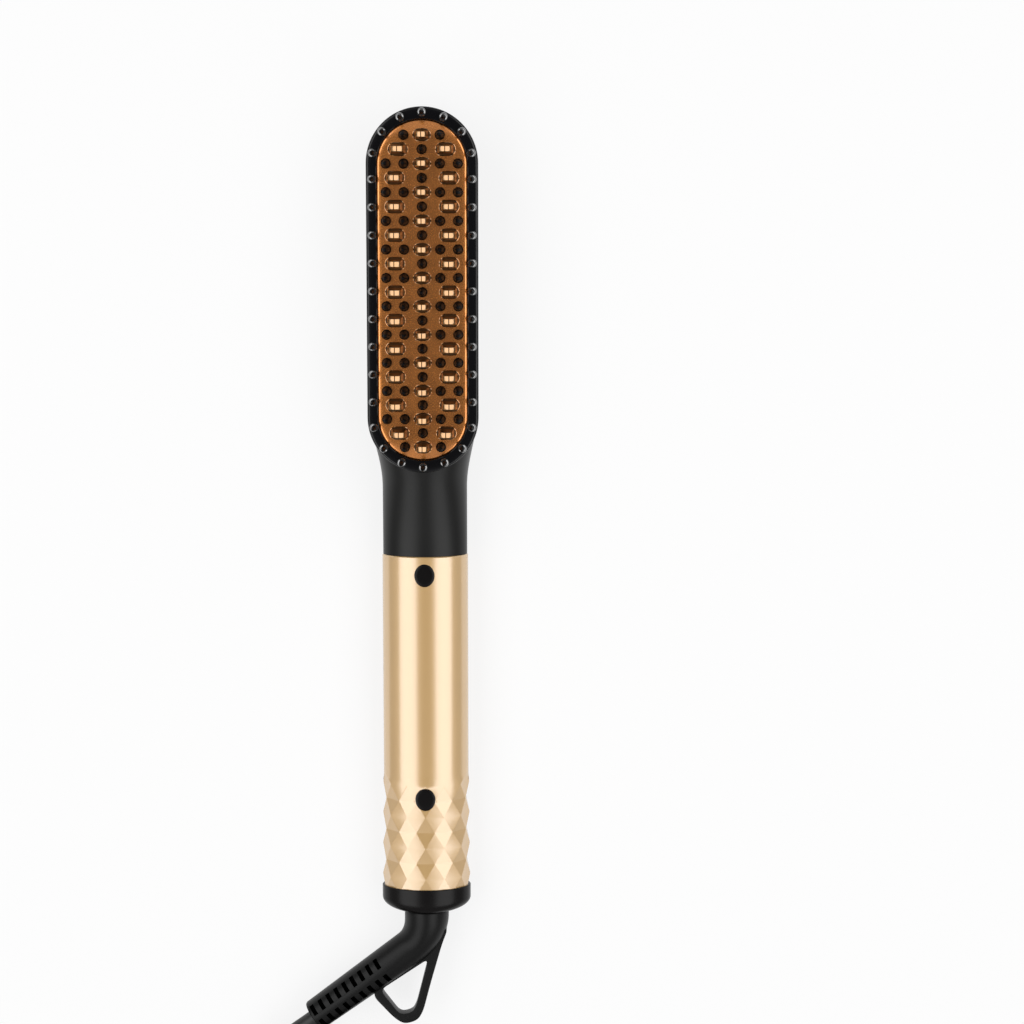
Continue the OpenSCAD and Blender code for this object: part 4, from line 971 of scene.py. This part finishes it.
rear = half_handle("handle_rear_gold", AXIS_Z, FAR)
bosses = [disc(0, y, BOSS_R[1], 1, AXIS_Z) for y in SCREW_YS]
cut(rear, [box_cutter(*pad) for pad in PADS] + bosses, "UNION", FACET_CREASE)
openings = [opening(PANEL_W, PANEL, PANEL_Z), opening(POCKET_W, POCKET, POCKET_Z),
            prism(lens_oval(LENS_FIT), -FAR, LENS_CUT_TOP), box_cutter(*STEM_WINDOW)]
openings += [disc(0, y, SCREW_HOLE_R, SCREW_HOLE_Z, FAR, 32) for y in SCREW_YS]
cut(rear, openings, crease=FACET_CREASE)
edged(rear, HANDLE_EDGE, angle=40)
placed(rear, "root", "handle_gold", gold, "handle_rear")

# ---- end cap ----

CAP_OVAL = (16.37, 10.6)
CAP_EYE_R = 8.45           # the circle round the elbow's neck, from which the cap swells to its oval
CAP_ROUND = 4.6
CAP_STEPS = 14
CAP_LEN = CAP_Y - CAP_END
CAP_CHAMFER = 0.2
TONGUE = (HALF_W - 3.05, HALF_T - 2.65)
TONGUE_T = 1.15
CAP_FLOOR = 4.7
BORE_R = 4.85
KEY_AT = (2.5, 3)          # across, and from the cap's end
KEY_R = 1.0
KEY_Z = (0.05, 1.55)


def along_axis(outline, d):
    """An outline across the comb, at a distance from the cap's end."""
    return [(x, CAP_END + d, AXIS_Z + z) for x, z in outline]


def axis_cutter(a, b, d1, d2):
    """An oval rod along the comb's axis."""
    return lofted("cutter", [along_axis(oval(a, b, 96), d) for d in (d1, d2)])


swell = [(math.sin(a), CAP_ROUND * (1 - math.cos(a)))
         for a in (math.pi / 2 * i / CAP_STEPS for i in range(CAP_STEPS + 1))]
sizes = [(between(CAP_EYE_R, CAP_OVAL[0], t), between(CAP_EYE_R, CAP_OVAL[1], t), d) for t, d in swell]
sizes += [(*CAP_OVAL, CAP_LEN - CAP_CHAMFER),
          (CAP_OVAL[0] - CAP_CHAMFER, CAP_OVAL[1] - CAP_CHAMFER, CAP_LEN)]
cap = lofted("end_cap_moulded", [along_axis(oval(a, b, 128), d) for a, b, d in sizes])
key = disc(KEY_AT[0], CAP_END + KEY_AT[1], KEY_R, *KEY_Z)
cut(cap, [axis_cutter(*TONGUE, CAP_LEN - 0.5, CAP_LEN + 3), key], "UNION")
cut(cap, [axis_cutter(TONGUE[0] - TONGUE_T, TONGUE[1] - TONGUE_T, CAP_FLOOR, CAP_LEN + 4),
          axis_cutter(BORE_R, BORE_R, -1, CAP_FLOOR + 1)])
edged(cap, CAP_EDGE)
placed(cap, "root", "cap_black", cap_black, "end_cap")

# ---- elbow ----

STUD = (3.0, 8.0)          # radius and length of the stud inside the cap
WIRE_R = 1.7
NECK_R = 8.2
NECK_EDGE = [(0.3, 0.45), (0.42, 0.15), (0.7, 0.0), (1.8, 0.0)]     # (distance from the cap's end, inset)
BEND_STEPS = 20
RELIEF = ((5.06, 6.75), (52.3, 5.85))     # (distance from the corner, radius)
RELIEF_EDGE = [(0.8, 0), (0.2, 0.25), (0, 0.8)]                     # (distance from the end, inset)
SLOT = (4.3, 1.7, 4.8)
SLOT_FIRST = 20.5
SLOT_PITCH = 3.7
SLOT_COUNT = 9
SLOT_SIDES = (-32, 32, 148, 212)
SLOT_SKIN = 0.2            # the slots' painted shade starts this far under the relief's skin
LOOP_T = 5.0
LOOP_CORNERS = (3, 2.5)    # radii of the corners outside and inside
CORNER_SHARE = 0.45        # a rounded corner takes up no more of a side than this
LOOP_OUTER = [(8.2, -6.9), (5.7, -13.4), (1.2, -29.2), (-1.4, -39.3), (-3.6, -42.9), (-8.5, -44.3),
              (-12.2, -42), (-20.5, -33.1), (-12, -18), (0, -8)]
LOOP_INNER = [(0.5, -19.2), (-17.4, -31.2), (-10, -40.8), (-5.5, -39.7), (-4, -37)]

relief_way = Vector((-math.sin(BEND), -math.cos(BEND), 0))
corner = Vector((0, BEND_Y, 0))


def bend_point(a):
    """A point of the elbow's bend, at an angle from the handle's axis."""
    start = BEND_Y + BEND_R * math.tan(BEND / 2)
    return Vector((-BEND_R * (1 - math.cos(a)), start - BEND_R * math.sin(a), 0))


def around(at, way, r, count=64):
    """A ring round a point of the elbow's line; y counts from the cap's end, z from the axis."""
    side = Vector((way.y, -way.x, 0))
    ring = [at + side * (r * math.cos(t)) + Vector((0, 0, r * math.sin(t))) for t in ring_points(count)]
    return [(p.x, p.y + CAP_END, p.z + AXIS_Z) for p in ring]


def rod(a, b, r, count=48):
    """A round rod between two points of the elbow's line."""
    way = (b - a).normalized()
    return lofted("cutter", [around(at, way, r, count) for at in (a, b)])


def corner_cut(outline, radius, steps=5):
    """Rounds the corners of an outline."""
    points = []
    for p, q, r in zip([outline[-1]] + outline[:-1], outline, outline[1:] + [outline[0]]):
        p, q, r = Vector(p), Vector(q), Vector(r)
        back, on = (p - q), (r - q)
        reach_back = min(radius, back.length * CORNER_SHARE)
        reach_on = min(radius, on.length * CORNER_SHARE)
        a, b = q + back.normalized() * reach_back, q + on.normalized() * reach_on
        for i in range(steps + 1):
            t = i / steps
            points.append(tuple((1 - t) ** 2 * a + 2 * t * (1 - t) * q + t ** 2 * b))
    return points


def loop_form(outline, radius, half_t):
    """A plate with rounded corners round the comb's axis height."""
    return prism(shifted(corner_cut(outline, radius), 0, CAP_END), AXIS_Z - half_t, AXIS_Z + half_t)


def slot_tool(along, side):
    """A block across the strain relief's skin, at a distance from the corner and a turn round its line."""
    tool = box_cutter(*((-size / 2, size / 2) for size in SLOT))
    at = corner + relief_way * along
    tool.matrix_world = (Matrix.Translation(Vector((at.x, at.y + CAP_END, at.z + AXIS_Z)) * MM)
                         @ Matrix.Rotation(-BEND, 4, "Z") @ Matrix.Rotation(math.radians(side), 4, "Y")
                         @ Matrix.Translation((0, 0, RELIEF[0][1] * MM)))
    return tool


rings = [around(Vector((0, -d, 0)), Vector((0, -1, 0)), NECK_R - inset) for d, inset in NECK_EDGE]
for i in range(BEND_STEPS + 1):
    a = BEND * i / BEND_STEPS
    rings.append(around(bend_point(a), Vector((-math.sin(a), -math.cos(a), 0)),
                        between(NECK_R, RELIEF[0][1], eased(i / BEND_STEPS))))
rings += [around(corner + relief_way * (RELIEF[1][0] - d), relief_way, RELIEF[1][1] - inset)
          for d, inset in RELIEF_EDGE]
elbow = lofted("elbow_moulded", rings)

loop = loop_form(LOOP_OUTER, LOOP_CORNERS[0], LOOP_T / 2)
eye = loop_form(LOOP_INNER, LOOP_CORNERS[1], LOOP_T)
settled(edged(cut(loop, [eye]), LOOP_EDGE, angle=40, steps=4))
stud = rod(Vector((0, STUD[1], 0)), Vector((0, -2, 0)), STUD[0])
cut(elbow, [loop, stud], "UNION")
slots = [slot_tool(SLOT_FIRST + i * SLOT_PITCH, side) for i in range(SLOT_COUNT) for side in SLOT_SIDES]
wire_bore = rod(Vector((0, STUD[1] + 1, 0)), Vector((0, -6, 0)), WIRE_R)
socket = rod(corner + relief_way * SOCKET_END, corner + relief_way * (RELIEF[1][0] + 2), CORD_D / 2)
cut(elbow, slots + [wire_bore, socket])
edged(elbow, ELBOW_EDGE, angle=40)
placed(elbow, "swivel", "elbow_black", elbow_black, "cord_elbow")
# the walls inside the slots take the near-black painted shade, the elbow's outside keeps its own black
elbow.data.materials.append(slot_painted_shade)
for face in elbow.data.polygons:
    away = face.center / MM - Vector((corner.x, corner.y + CAP_END, AXIS_Z))
    along = away.dot(relief_way)
    out = (away - along * relief_way).length
    skin = between(RELIEF[0][1], RELIEF[1][1], (along - RELIEF[0][0]) / (RELIEF[1][0] - RELIEF[0][0]))
    beside_slots = SLOT_FIRST - SLOT_PITCH < along < SLOT_FIRST + SLOT_COUNT * SLOT_PITCH
    if beside_slots and CORD_D / 2 + SLOT_SKIN / 2 < out < skin - SLOT_SKIN:
        face.material_index = 1

# ---- switch knob and indicator ----

KNOB = (POCKET[0] + 0.3, POCKET[0] + 0.3 + 24.4)
KNOB_W = 7.7
KNOB_BACK = 2.3
KNOB_FACE = 0.25
KNOB_EDGE = 1.0
KNOB_ROWS = 3
KNOB_DIP = 1.05
KNOB_LEAN = 0.9            # the points lean towards the cap, so their long faces catch the light
KNOB_STEP = 2.95
KNOB_GRIP = (2.6, 3.15)    # from the knob's end to the first row of points; half width of the rows
# (side, part of the half width, distance from the head's end) of the knob's point
KNOB_POINT = [(-1, 1, 3.0), (-1, 0.92, 2.0), (-1, 0.6, 0.9), (0, 1, 0),
              (1, 0.6, 0.9), (1, 0.92, 2.0), (1, 1, 3.0)]
KNOB_TURN = 24             # steps of the half circle at the cap's end
KNOB_SKIRT = KNOB_EDGE + 0.9
KNOB_CREASE = 20
# (inset, height) of the knob's sides, from its back to the foot of the grip
KNOB_PROFILE = [(0, KNOB_BACK), (0, KNOB_EDGE + 0.55), (0.12, KNOB_EDGE + 0.35),
                (0.4, KNOB_FACE + KNOB_DIP - 0.05)]
STEM_W, STEM_L = 2.0, 3.0
STEM_Z = 4.3
SLIDE_TRAVEL = 5.8
KNOB_MID = (KNOB[0] + KNOB[1]) / 2
STEM_Y = KNOB_MID - SLIDE_TRAVEL / 2


def knob_outline(inset):
    """Rounded towards the cap, pointed towards the head."""
    r = KNOB_W / 2
    points = [(-r * math.sin(a), KNOB[0] + r - r * math.cos(a))
              for a in (math.pi * (i / KNOB_TURN - 0.5) for i in range(KNOB_TURN + 1))]
    points += [(s * r * part, KNOB[1] - d) for s, part, d in KNOB_POINT]
    part = 1 - 2 * inset / KNOB_W
    return [(x * part, KNOB_MID + (y - KNOB_MID) * (1 - inset / (KNOB[1] - KNOB_MID))) for x, y in points]


def knob_grip():
    """Three pyramids in a row, with half pyramids between them at the sides."""
    bm = bmesh.new()
    grid = []
    for row in range(2 * KNOB_ROWS + 1):
        y = KNOB[0] + KNOB_GRIP[0] + row * KNOB_STEP
        lows = [(row + side) % 2 == 0 for side in (-1, 0, 1)]
        places = [(side * KNOB_GRIP[1], y - KNOB_LEAN * (not low), KNOB_FACE + KNOB_DIP * low)
                  for side, low in zip((-1, 0, 1), lows)]
        grid.append(vertex_row(bm, places))
    for row, (a, b) in enumerate(zip(grid, grid[1:])):
        for k in (0, 1):
            if (row + k) % 2 == 0:
                faces = ((a[k], a[k + 1], b[k + 1]), (a[k], b[k + 1], b[k]))
            else:
                faces = ((a[k], a[k + 1], b[k]), (a[k + 1], b[k + 1], b[k]))
            for face in faces:
                bm.faces.new(face)
    edge = [r[0] for r in grid] + [grid[-1][1]] + [r[2] for r in reversed(grid)] + [grid[0][1]]
    skirt = [bm.verts.new((v.co.x, v.co.y, KNOB_SKIRT * MM)) for v in edge]
    for i in range(len(edge)):
        k = (i + 1) % len(edge)
        bm.faces.new((edge[i], edge[k], skirt[k], skirt[i]))
    bm.faces.new(skirt)
    return made(bm, "cutter")


rings = [level(knob_outline(inset), z) for inset, z in KNOB_PROFILE]
knob = lofted("knob_diamond_grip", rings, KNOB_CREASE)
stem = box_cutter((-STEM_W / 2, STEM_W / 2), (STEM_Y - STEM_L / 2, STEM_Y + STEM_L / 2),
                  (KNOB_BACK - 0.1, STEM_Z))
cut(knob, [knob_grip(), stem], "UNION", KNOB_CREASE)
edged(knob, KNOB_ROUND, angle=KNOB_CREASE)
placed(knob, "slider", "knob_black", knob_black, "slider_knob")

LENS_PROUD = 0.3
LENS_FLANGE = 0.6
LENS_BACK = 4.0
# (growth, height) from the flange inside to the domed face
LENS_PROFILE = [(LENS_FLANGE, LENS_BACK + LENS_FLANGE), (LENS_FLANGE, LENS_BACK), (0, LENS_BACK),
                (0, PANEL_Z), (-0.12, PANEL_Z - 0.18), (-0.4, PANEL_Z - LENS_PROUD * 0.85),
                (-0.9, PANEL_Z - LENS_PROUD * 0.97), (-1.5, PANEL_Z - LENS_PROUD)]
lens = lofted("lens_smoked", [level(lens_oval(grow), z) for grow, z in LENS_PROFILE], crease=40)
placed(lens, "root", "lens_dark", lens_smoke, "led_lens")

# ---- lettering and dots beside the switch ----

INK_T = 0.02
LETTER_H = 2.5
LETTER_W = 1.75
STROKE = 0.42
F_HALF_W = LETTER_W * 0.42
F_ARM = 0.7                # the middle arm of an F against its upper one
N_HALF_W = LETTER_W * 0.46
N_SLANT = 0.8              # upright thickness of the slanting stroke of an N
ON_Y = CAP_END + 107.2
OFF_Y = CAP_END + 70.9
ON_XS = (1.15, -1.15)
OFF_XS = (2.1, 0, -2.0)
DOTS_X = -7.1
DOT_R = 0.45
DOT_YS = [CAP_END + d for d in (98.7, 96.4, 91.7)]


def back_z(x):
    """Height of the handle's underside at a place across it."""
    return AXIS_Z - HALF_T * math.sqrt(1 - (x / HALF_W) ** 2)


def bar(x1, y1, x2, y2):
    """A straight stroke between two corners."""
    return [(x1, y1), (x2, y1), (x2, y2), (x1, y2)]


def letter_o(steps=28):
    """Strokes of an O about its middle, like those of the next two letters."""
    outer = oval(LETTER_W / 2, LETTER_H / 2, steps)
    inner = oval(LETTER_W / 2 - STROKE, LETTER_H / 2 - STROKE, steps)
    return [[outer[i], outer[(i + 1) % steps], inner[(i + 1) % steps], inner[i]] for i in range(steps)]


def letter_f():
    w, h = F_HALF_W, LETTER_H / 2
    return [bar(-w, -h, STROKE - w, h), bar(STROKE - w, h - STROKE, w, h),
            bar(STROKE - w, -0.1, w * F_ARM, STROKE - 0.1)]


def letter_n():
    w, h = N_HALF_W, LETTER_H / 2
    return [bar(-w, -h, STROKE - w, h), bar(w - STROKE, -h, w, h),
            [(STROKE - w, h), (STROKE - w, h - N_SLANT), (w - STROKE, -h), (w - STROKE, N_SLANT - h)]]


def printed(bm, strokes, x, y, floor_z=None):
    """Strokes of ink as seen from behind, at a height or on the handle's curve."""
    for stroke in strokes:
        places = [(x - u, y + v) for u, v in stroke]
        under = [floor_z if floor_z else back_z(px) for px, _ in places]
        loft(bm, [[(px, py, z + off) for (px, py), z in zip(places, under)] for off in (INK_T, -INK_T)])


bm = bmesh.new()
for x, letter in zip(ON_XS, (letter_o, letter_n)):
    printed(bm, letter(), x, ON_Y, PANEL_Z)
for x, letter in zip(OFF_XS, (letter_o, letter_f, letter_f)):
    printed(bm, letter(), x, OFF_Y)
for y in DOT_YS:
    printed(bm, [oval(DOT_R, DOT_R, 20)], DOTS_X, y)
placed(made(bm, "switch_lettering_printed"), "root", "knob_black", ink)

# ---- tie and plug of the lead ----

TIE_AT = (268, 277)        # from and to which angle of the coil the tie reaches
TIE_STEPS = 8
TIE_POINTS = 96
TIE_T = 0.58
TIE_GAP = 0.01


def tie_ring(angle, out):
    """Outline of a band drawn tight round the coil at an angle."""
    centres = []
    turned_by = (angle - COIL_START) % 360
    while turned_by <= COIL_TURN:
        centres.append((coil_radius(turned_by), coil_height(turned_by)))
        turned_by += 360
    cloud = [Vector((r + out * math.cos(t), z + out * math.sin(t)))
             for r, z in centres for t in ring_points(TIE_POINTS // 2)]
    hull = [cloud[i] for i in convex_hull_2d(cloud)]
    lengths = [0.0]
    for p, q in zip(hull, hull[1:] + hull[:1]):
        lengths.append(lengths[-1] + (q - p).length)
    ring = []
    for i in range(TIE_POINTS):
        goal = lengths[-1] * i / TIE_POINTS
        k = max(j for j in range(len(hull)) if lengths[j] <= goal)
        p, q = hull[k], hull[(k + 1) % len(hull)]
        ring.append(p + (q - p) * ((goal - lengths[k]) / max(lengths[k + 1] - lengths[k], TINY)))
    a = math.radians(angle)
    return [(COIL_AT[0] + p.x * math.cos(a), COIL_AT[1] + p.x * math.sin(a) + CAP_END, p.y) for p in ring]


tie_angles = [TIE_AT[0] + (TIE_AT[1] - TIE_AT[0]) * i / TIE_STEPS for i in range(TIE_STEPS + 1)]
touch = CORD_D / 2 + TIE_GAP
rings = [tie_ring(a, touch) for a in tie_angles]
rings += [tie_ring(a, touch + TIE_T) for a in reversed(tie_angles)]
tie = lofted("lead_tie_tape", rings, crease=50, closed=True)
placed(tie, "swivel", "tie_grey", tie_felt, "cord_tie")

RELIEF_RIBS = 9
RIB = [(0, 0), (0.15, -0.7), (0.85, -0.65), (1.0, 0.05)]     # (distance, growth) of the groove before a rib
PLUG_RELIEF_L = 22.0
PLUG_RELIEF_R = (CORD_D / 2 + 0.9, CORD_D / 2 + 2.2)
PLUG_CREASE = 35
PLUG_SQUARE = (3.0, 3.6)   # how square the plug's section is near the relief and over its broad part
PLUG_BROAD = 10            # distance from the relief where the broad part starts
PLUG_L = 35.0
# (distance from the relief, half width, half height)
PLUG_STATIONS = [(0, 6.0, 5.6), (4, 6.8, 5.95), (8, 9.0, 6.3), (12, 12.6, 6.65), (15, 15.4, 6.8),
                 (18, 17.0, 6.8), (22, 16.7, 6.8), (26, 15.6, 6.8), (30, 14.3, 6.8), (33.8, 13.2, 6.8),
                 (34.6, 12.9, 6.5), (PLUG_L, 12.2, 5.9)]
GRIP_FIRST = 20.0
GRIP_PITCH = 2.4
GRIP_COUNT = 5
GRIP = (8, 0.5, 0.6)       # half sizes of a grip groove
GRIP_OUT = 7.1
PIN_L = 19.0
PIN_R = 2.0
PIN_SPREAD = 18.6
SLEEVE_L = 9.0
# (distance from the plug's face, radius)
PLUG_PIN = [(-6, 1.5), (0, 1.5), (0.02, 1.8), (SLEEVE_L, 1.8), (SLEEVE_L + 0.1, PIN_R),
            (PIN_L - 1.1, PIN_R), (PIN_L - 0.5, PIN_R - 0.3), (PIN_L - 0.1, PIN_R - 0.9),
            (PIN_L, PIN_R - 1.4)]
PLUG_SLEEVE = [(0.05, PIN_R), (SLEEVE_L, PIN_R), (SLEEVE_L, 1.82), (0.05, 1.82)]


def plug_ring(d, half_w, half_h, power=2.0, count=64, x=0.0):
    """A cross-section of the plug at a distance from the end of the lead; a higher power squares it up."""
    ring = []
    for t in ring_points(count):
        across = half_w * signed_power(math.cos(t), 2 / power)
        up = half_h * signed_power(math.sin(t), 2 / power)
        ring.append((PLUG_AT[0] + across + x, PLUG_AT[1] + CAP_END - d, PLUG_AT[2] + up))
    return ring


def pin_rings(profile, x):
    """Rings of one of the plug's pins, or of its sleeve."""
    return [plug_ring(PLUG_RELIEF_L + PLUG_L + d, r, r, count=32, x=x) for d, r in profile]


foot_r, head_r = PLUG_RELIEF_R
sizes = [(0, CORD_D / 2 + 0.05), (0.15, foot_r - 0.15), (0.5, foot_r)]
for i in range(RELIEF_RIBS):
    d = 2 + i * (PLUG_RELIEF_L - 3) / RELIEF_RIBS
    r = between(foot_r, head_r, d / PLUG_RELIEF_L)
    sizes += [(d + on, r + grow) for on, grow in RIB]
sizes.append((PLUG_RELIEF_L, head_r))
plug_relief = lofted("plug_relief_moulded", [plug_ring(d, r, r) for d, r in sizes], crease=50)
placed(plug_relief, "swivel", "elbow_black", elbow_black, "plug_relief")

rings = [plug_ring(PLUG_RELIEF_L + d, w, h, PLUG_SQUARE[d >= PLUG_BROAD]) for d, w, h in PLUG_STATIONS]
plug_body = lofted("plug_body_moulded", rings, PLUG_CREASE)
grips = []
for side in (-1, 1):
    for i in range(GRIP_COUNT):
        at = (PLUG_AT[0], PLUG_AT[1] + CAP_END - (PLUG_RELIEF_L + GRIP_FIRST + i * GRIP_PITCH),
              PLUG_AT[2] + side * GRIP_OUT)
        grips.append(box_cutter(*((c - half, c + half) for c, half in zip(at, GRIP))))
cut(plug_body, grips, crease=PLUG_CREASE)
edged(plug_body, PLUG_EDGE, angle=PLUG_CREASE)
placed(plug_body, "swivel", "elbow_black", elbow_black, "plug_body")

pins, sleeves = bmesh.new(), bmesh.new()
for x in (-PIN_SPREAD / 2, PIN_SPREAD / 2):
    loft(pins, pin_rings(PLUG_PIN, x))
    loft(sleeves, pin_rings(PLUG_SLEEVE, x), closed=True)
plug_pins = made(pins, "plug_pins_plated", crease=40)
placed(plug_pins, "swivel", "pin_nickel", nickel, "plug_pins")
pin_sleeves = made(sleeves, "plug_pin_sleeves", crease=40)
placed(pin_sleeves, "swivel", "elbow_black", cap_black)

# ---- inner parts keep their CAD form: only finishes and finely broken edges ----

WELD_REACH = 0.001

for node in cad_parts.values():
    slot = node.data.materials[0].name.split(".")[0]
    if slot in HIDDEN_FINISHES:
        node.data.materials[0] = HIDDEN_FINISHES[slot]
        weld = node.modifiers.new("weld", "WELD")
        weld.merge_threshold = WELD_REACH * MM
        edged(node, INNER_EDGE, angle=35, steps=1)

# ---- floor, lamps and world; sizes here are in metres and angles in degrees ----

FLOOR_REACH = 12
FLOOR_Z = -0.0002
FLOOR_WHITE = 0.8          # how much of the seen floor is plain white instead of shaded
PAPER = (0.8, 0.8, 0.8, 1)
WHITE = (1, 1, 1, 1)
# the room's strength against the upward part of a direction: pale walls, a dark patch straight up
CEILING = {"From Min": 0.94, "From Max": 0.985, "To Min": 0.4, "To Max": 0.1}
LAMP_ANGLE = 34            # from straight up
LAMP_SPREAD = 36           # how wide a lamp looks from the comb
LAMP_DISTANCE = 0.9
LAMP_LENGTH = 1.6
LAMP_RADIANCE = 1.95

bm = bmesh.new()
for x, y in ((-1, -1), (1, -1), (1, 1), (-1, 1)):
    bm.verts.new((x * FLOOR_REACH, y * FLOOR_REACH, FLOOR_Z))
bm.faces.new(bm.verts)
floor = made(bm, "floor")

# a sheet of white paper, seen and mirrored mostly as plain white, so that the comb stands on a clean ground
# with a faint shadow; the light that it throws back onto the comb is that of paper
material = bpy.data.materials.new("white_floor")
material.use_nodes = True
tree = material.node_tree
tree.nodes.clear()
rays = add(tree, "ShaderNodeLightPath")
seen = add(tree, "ShaderNodeMath", {"operation": "MAXIMUM"},
           {0: rays.outputs["Is Camera Ray"], 1: rays.outputs["Is Glossy Ray"]})
seen = add(tree, "ShaderNodeMath", {"operation": "MAXIMUM"},
           {0: seen.outputs[0], 1: rays.outputs["Is Transmission Ray"]})
share = add(tree, "ShaderNodeMath", {"operation": "MULTIPLY", 1: FLOOR_WHITE}, {0: seen.outputs[0]})
matt = add(tree, "ShaderNodeBsdfDiffuse", {"Color": PAPER})
glow = add(tree, "ShaderNodeEmission", {"Color": WHITE, "Strength": 1.0})
both = add(tree, "ShaderNodeMixShader", links={0: share.outputs[0], 1: matt.outputs[0], 2: glow.outputs[0]})
add(tree, "ShaderNodeOutputMaterial", links={"Surface": both.outputs[0]})
floor.data.materials.append(material)

# a pale room whose ceiling is dark right above the comb, in front of a white backdrop
world = bpy.data.worlds.new("room")
world.use_nodes = True
bpy.context.scene.world = world
tree = world.node_tree
tree.nodes.clear()
rays = add(tree, "ShaderNodeLightPath")
way = add(tree, "ShaderNodeSeparateXYZ", links={0: add(tree, "ShaderNodeTexCoord").outputs["Generated"]})
above = add(tree, "ShaderNodeMapRange", CEILING, {"Value": way.outputs["Z"]})
room = add(tree, "ShaderNodeBackground", {"Color": WHITE}, {"Strength": above.outputs["Result"]})
backdrop = add(tree, "ShaderNodeBackground", {"Color": WHITE, "Strength": 1.0})
both = add(tree, "ShaderNodeMixShader",
           links={0: rays.outputs["Is Camera Ray"], 1: room.outputs[0], 2: backdrop.outputs[0]})
add(tree, "ShaderNodeOutputWorld", links={"Surface": both.outputs[0]})


def softbox(name, angle):
    """A long lamp beside the comb, at an angle from straight up, wide enough to cover its spread."""
    width = 2 * LAMP_DISTANCE * math.tan(math.radians(LAMP_SPREAD / 2))
    data = bpy.data.lights.new(name, "AREA")
    data.shape = "RECTANGLE"
    data.size, data.size_y = width, LAMP_LENGTH
    data.energy = LAMP_RADIANCE * math.pi * width * LAMP_LENGTH
    lamp = bpy.data.objects.new(name, data)
    a = math.radians(angle)
    lamp.location = (LAMP_DISTANCE * math.sin(a), 0.0, LAMP_DISTANCE * math.cos(a))
    lamp.rotation_euler = Euler((0, a, 0))
    bpy.context.scene.collection.objects.link(lamp)


softbox("softbox_left", -LAMP_ANGLE)
softbox("softbox_right", LAMP_ANGLE)

scene = bpy.context.scene
scene.view_settings.view_transform = "Standard"
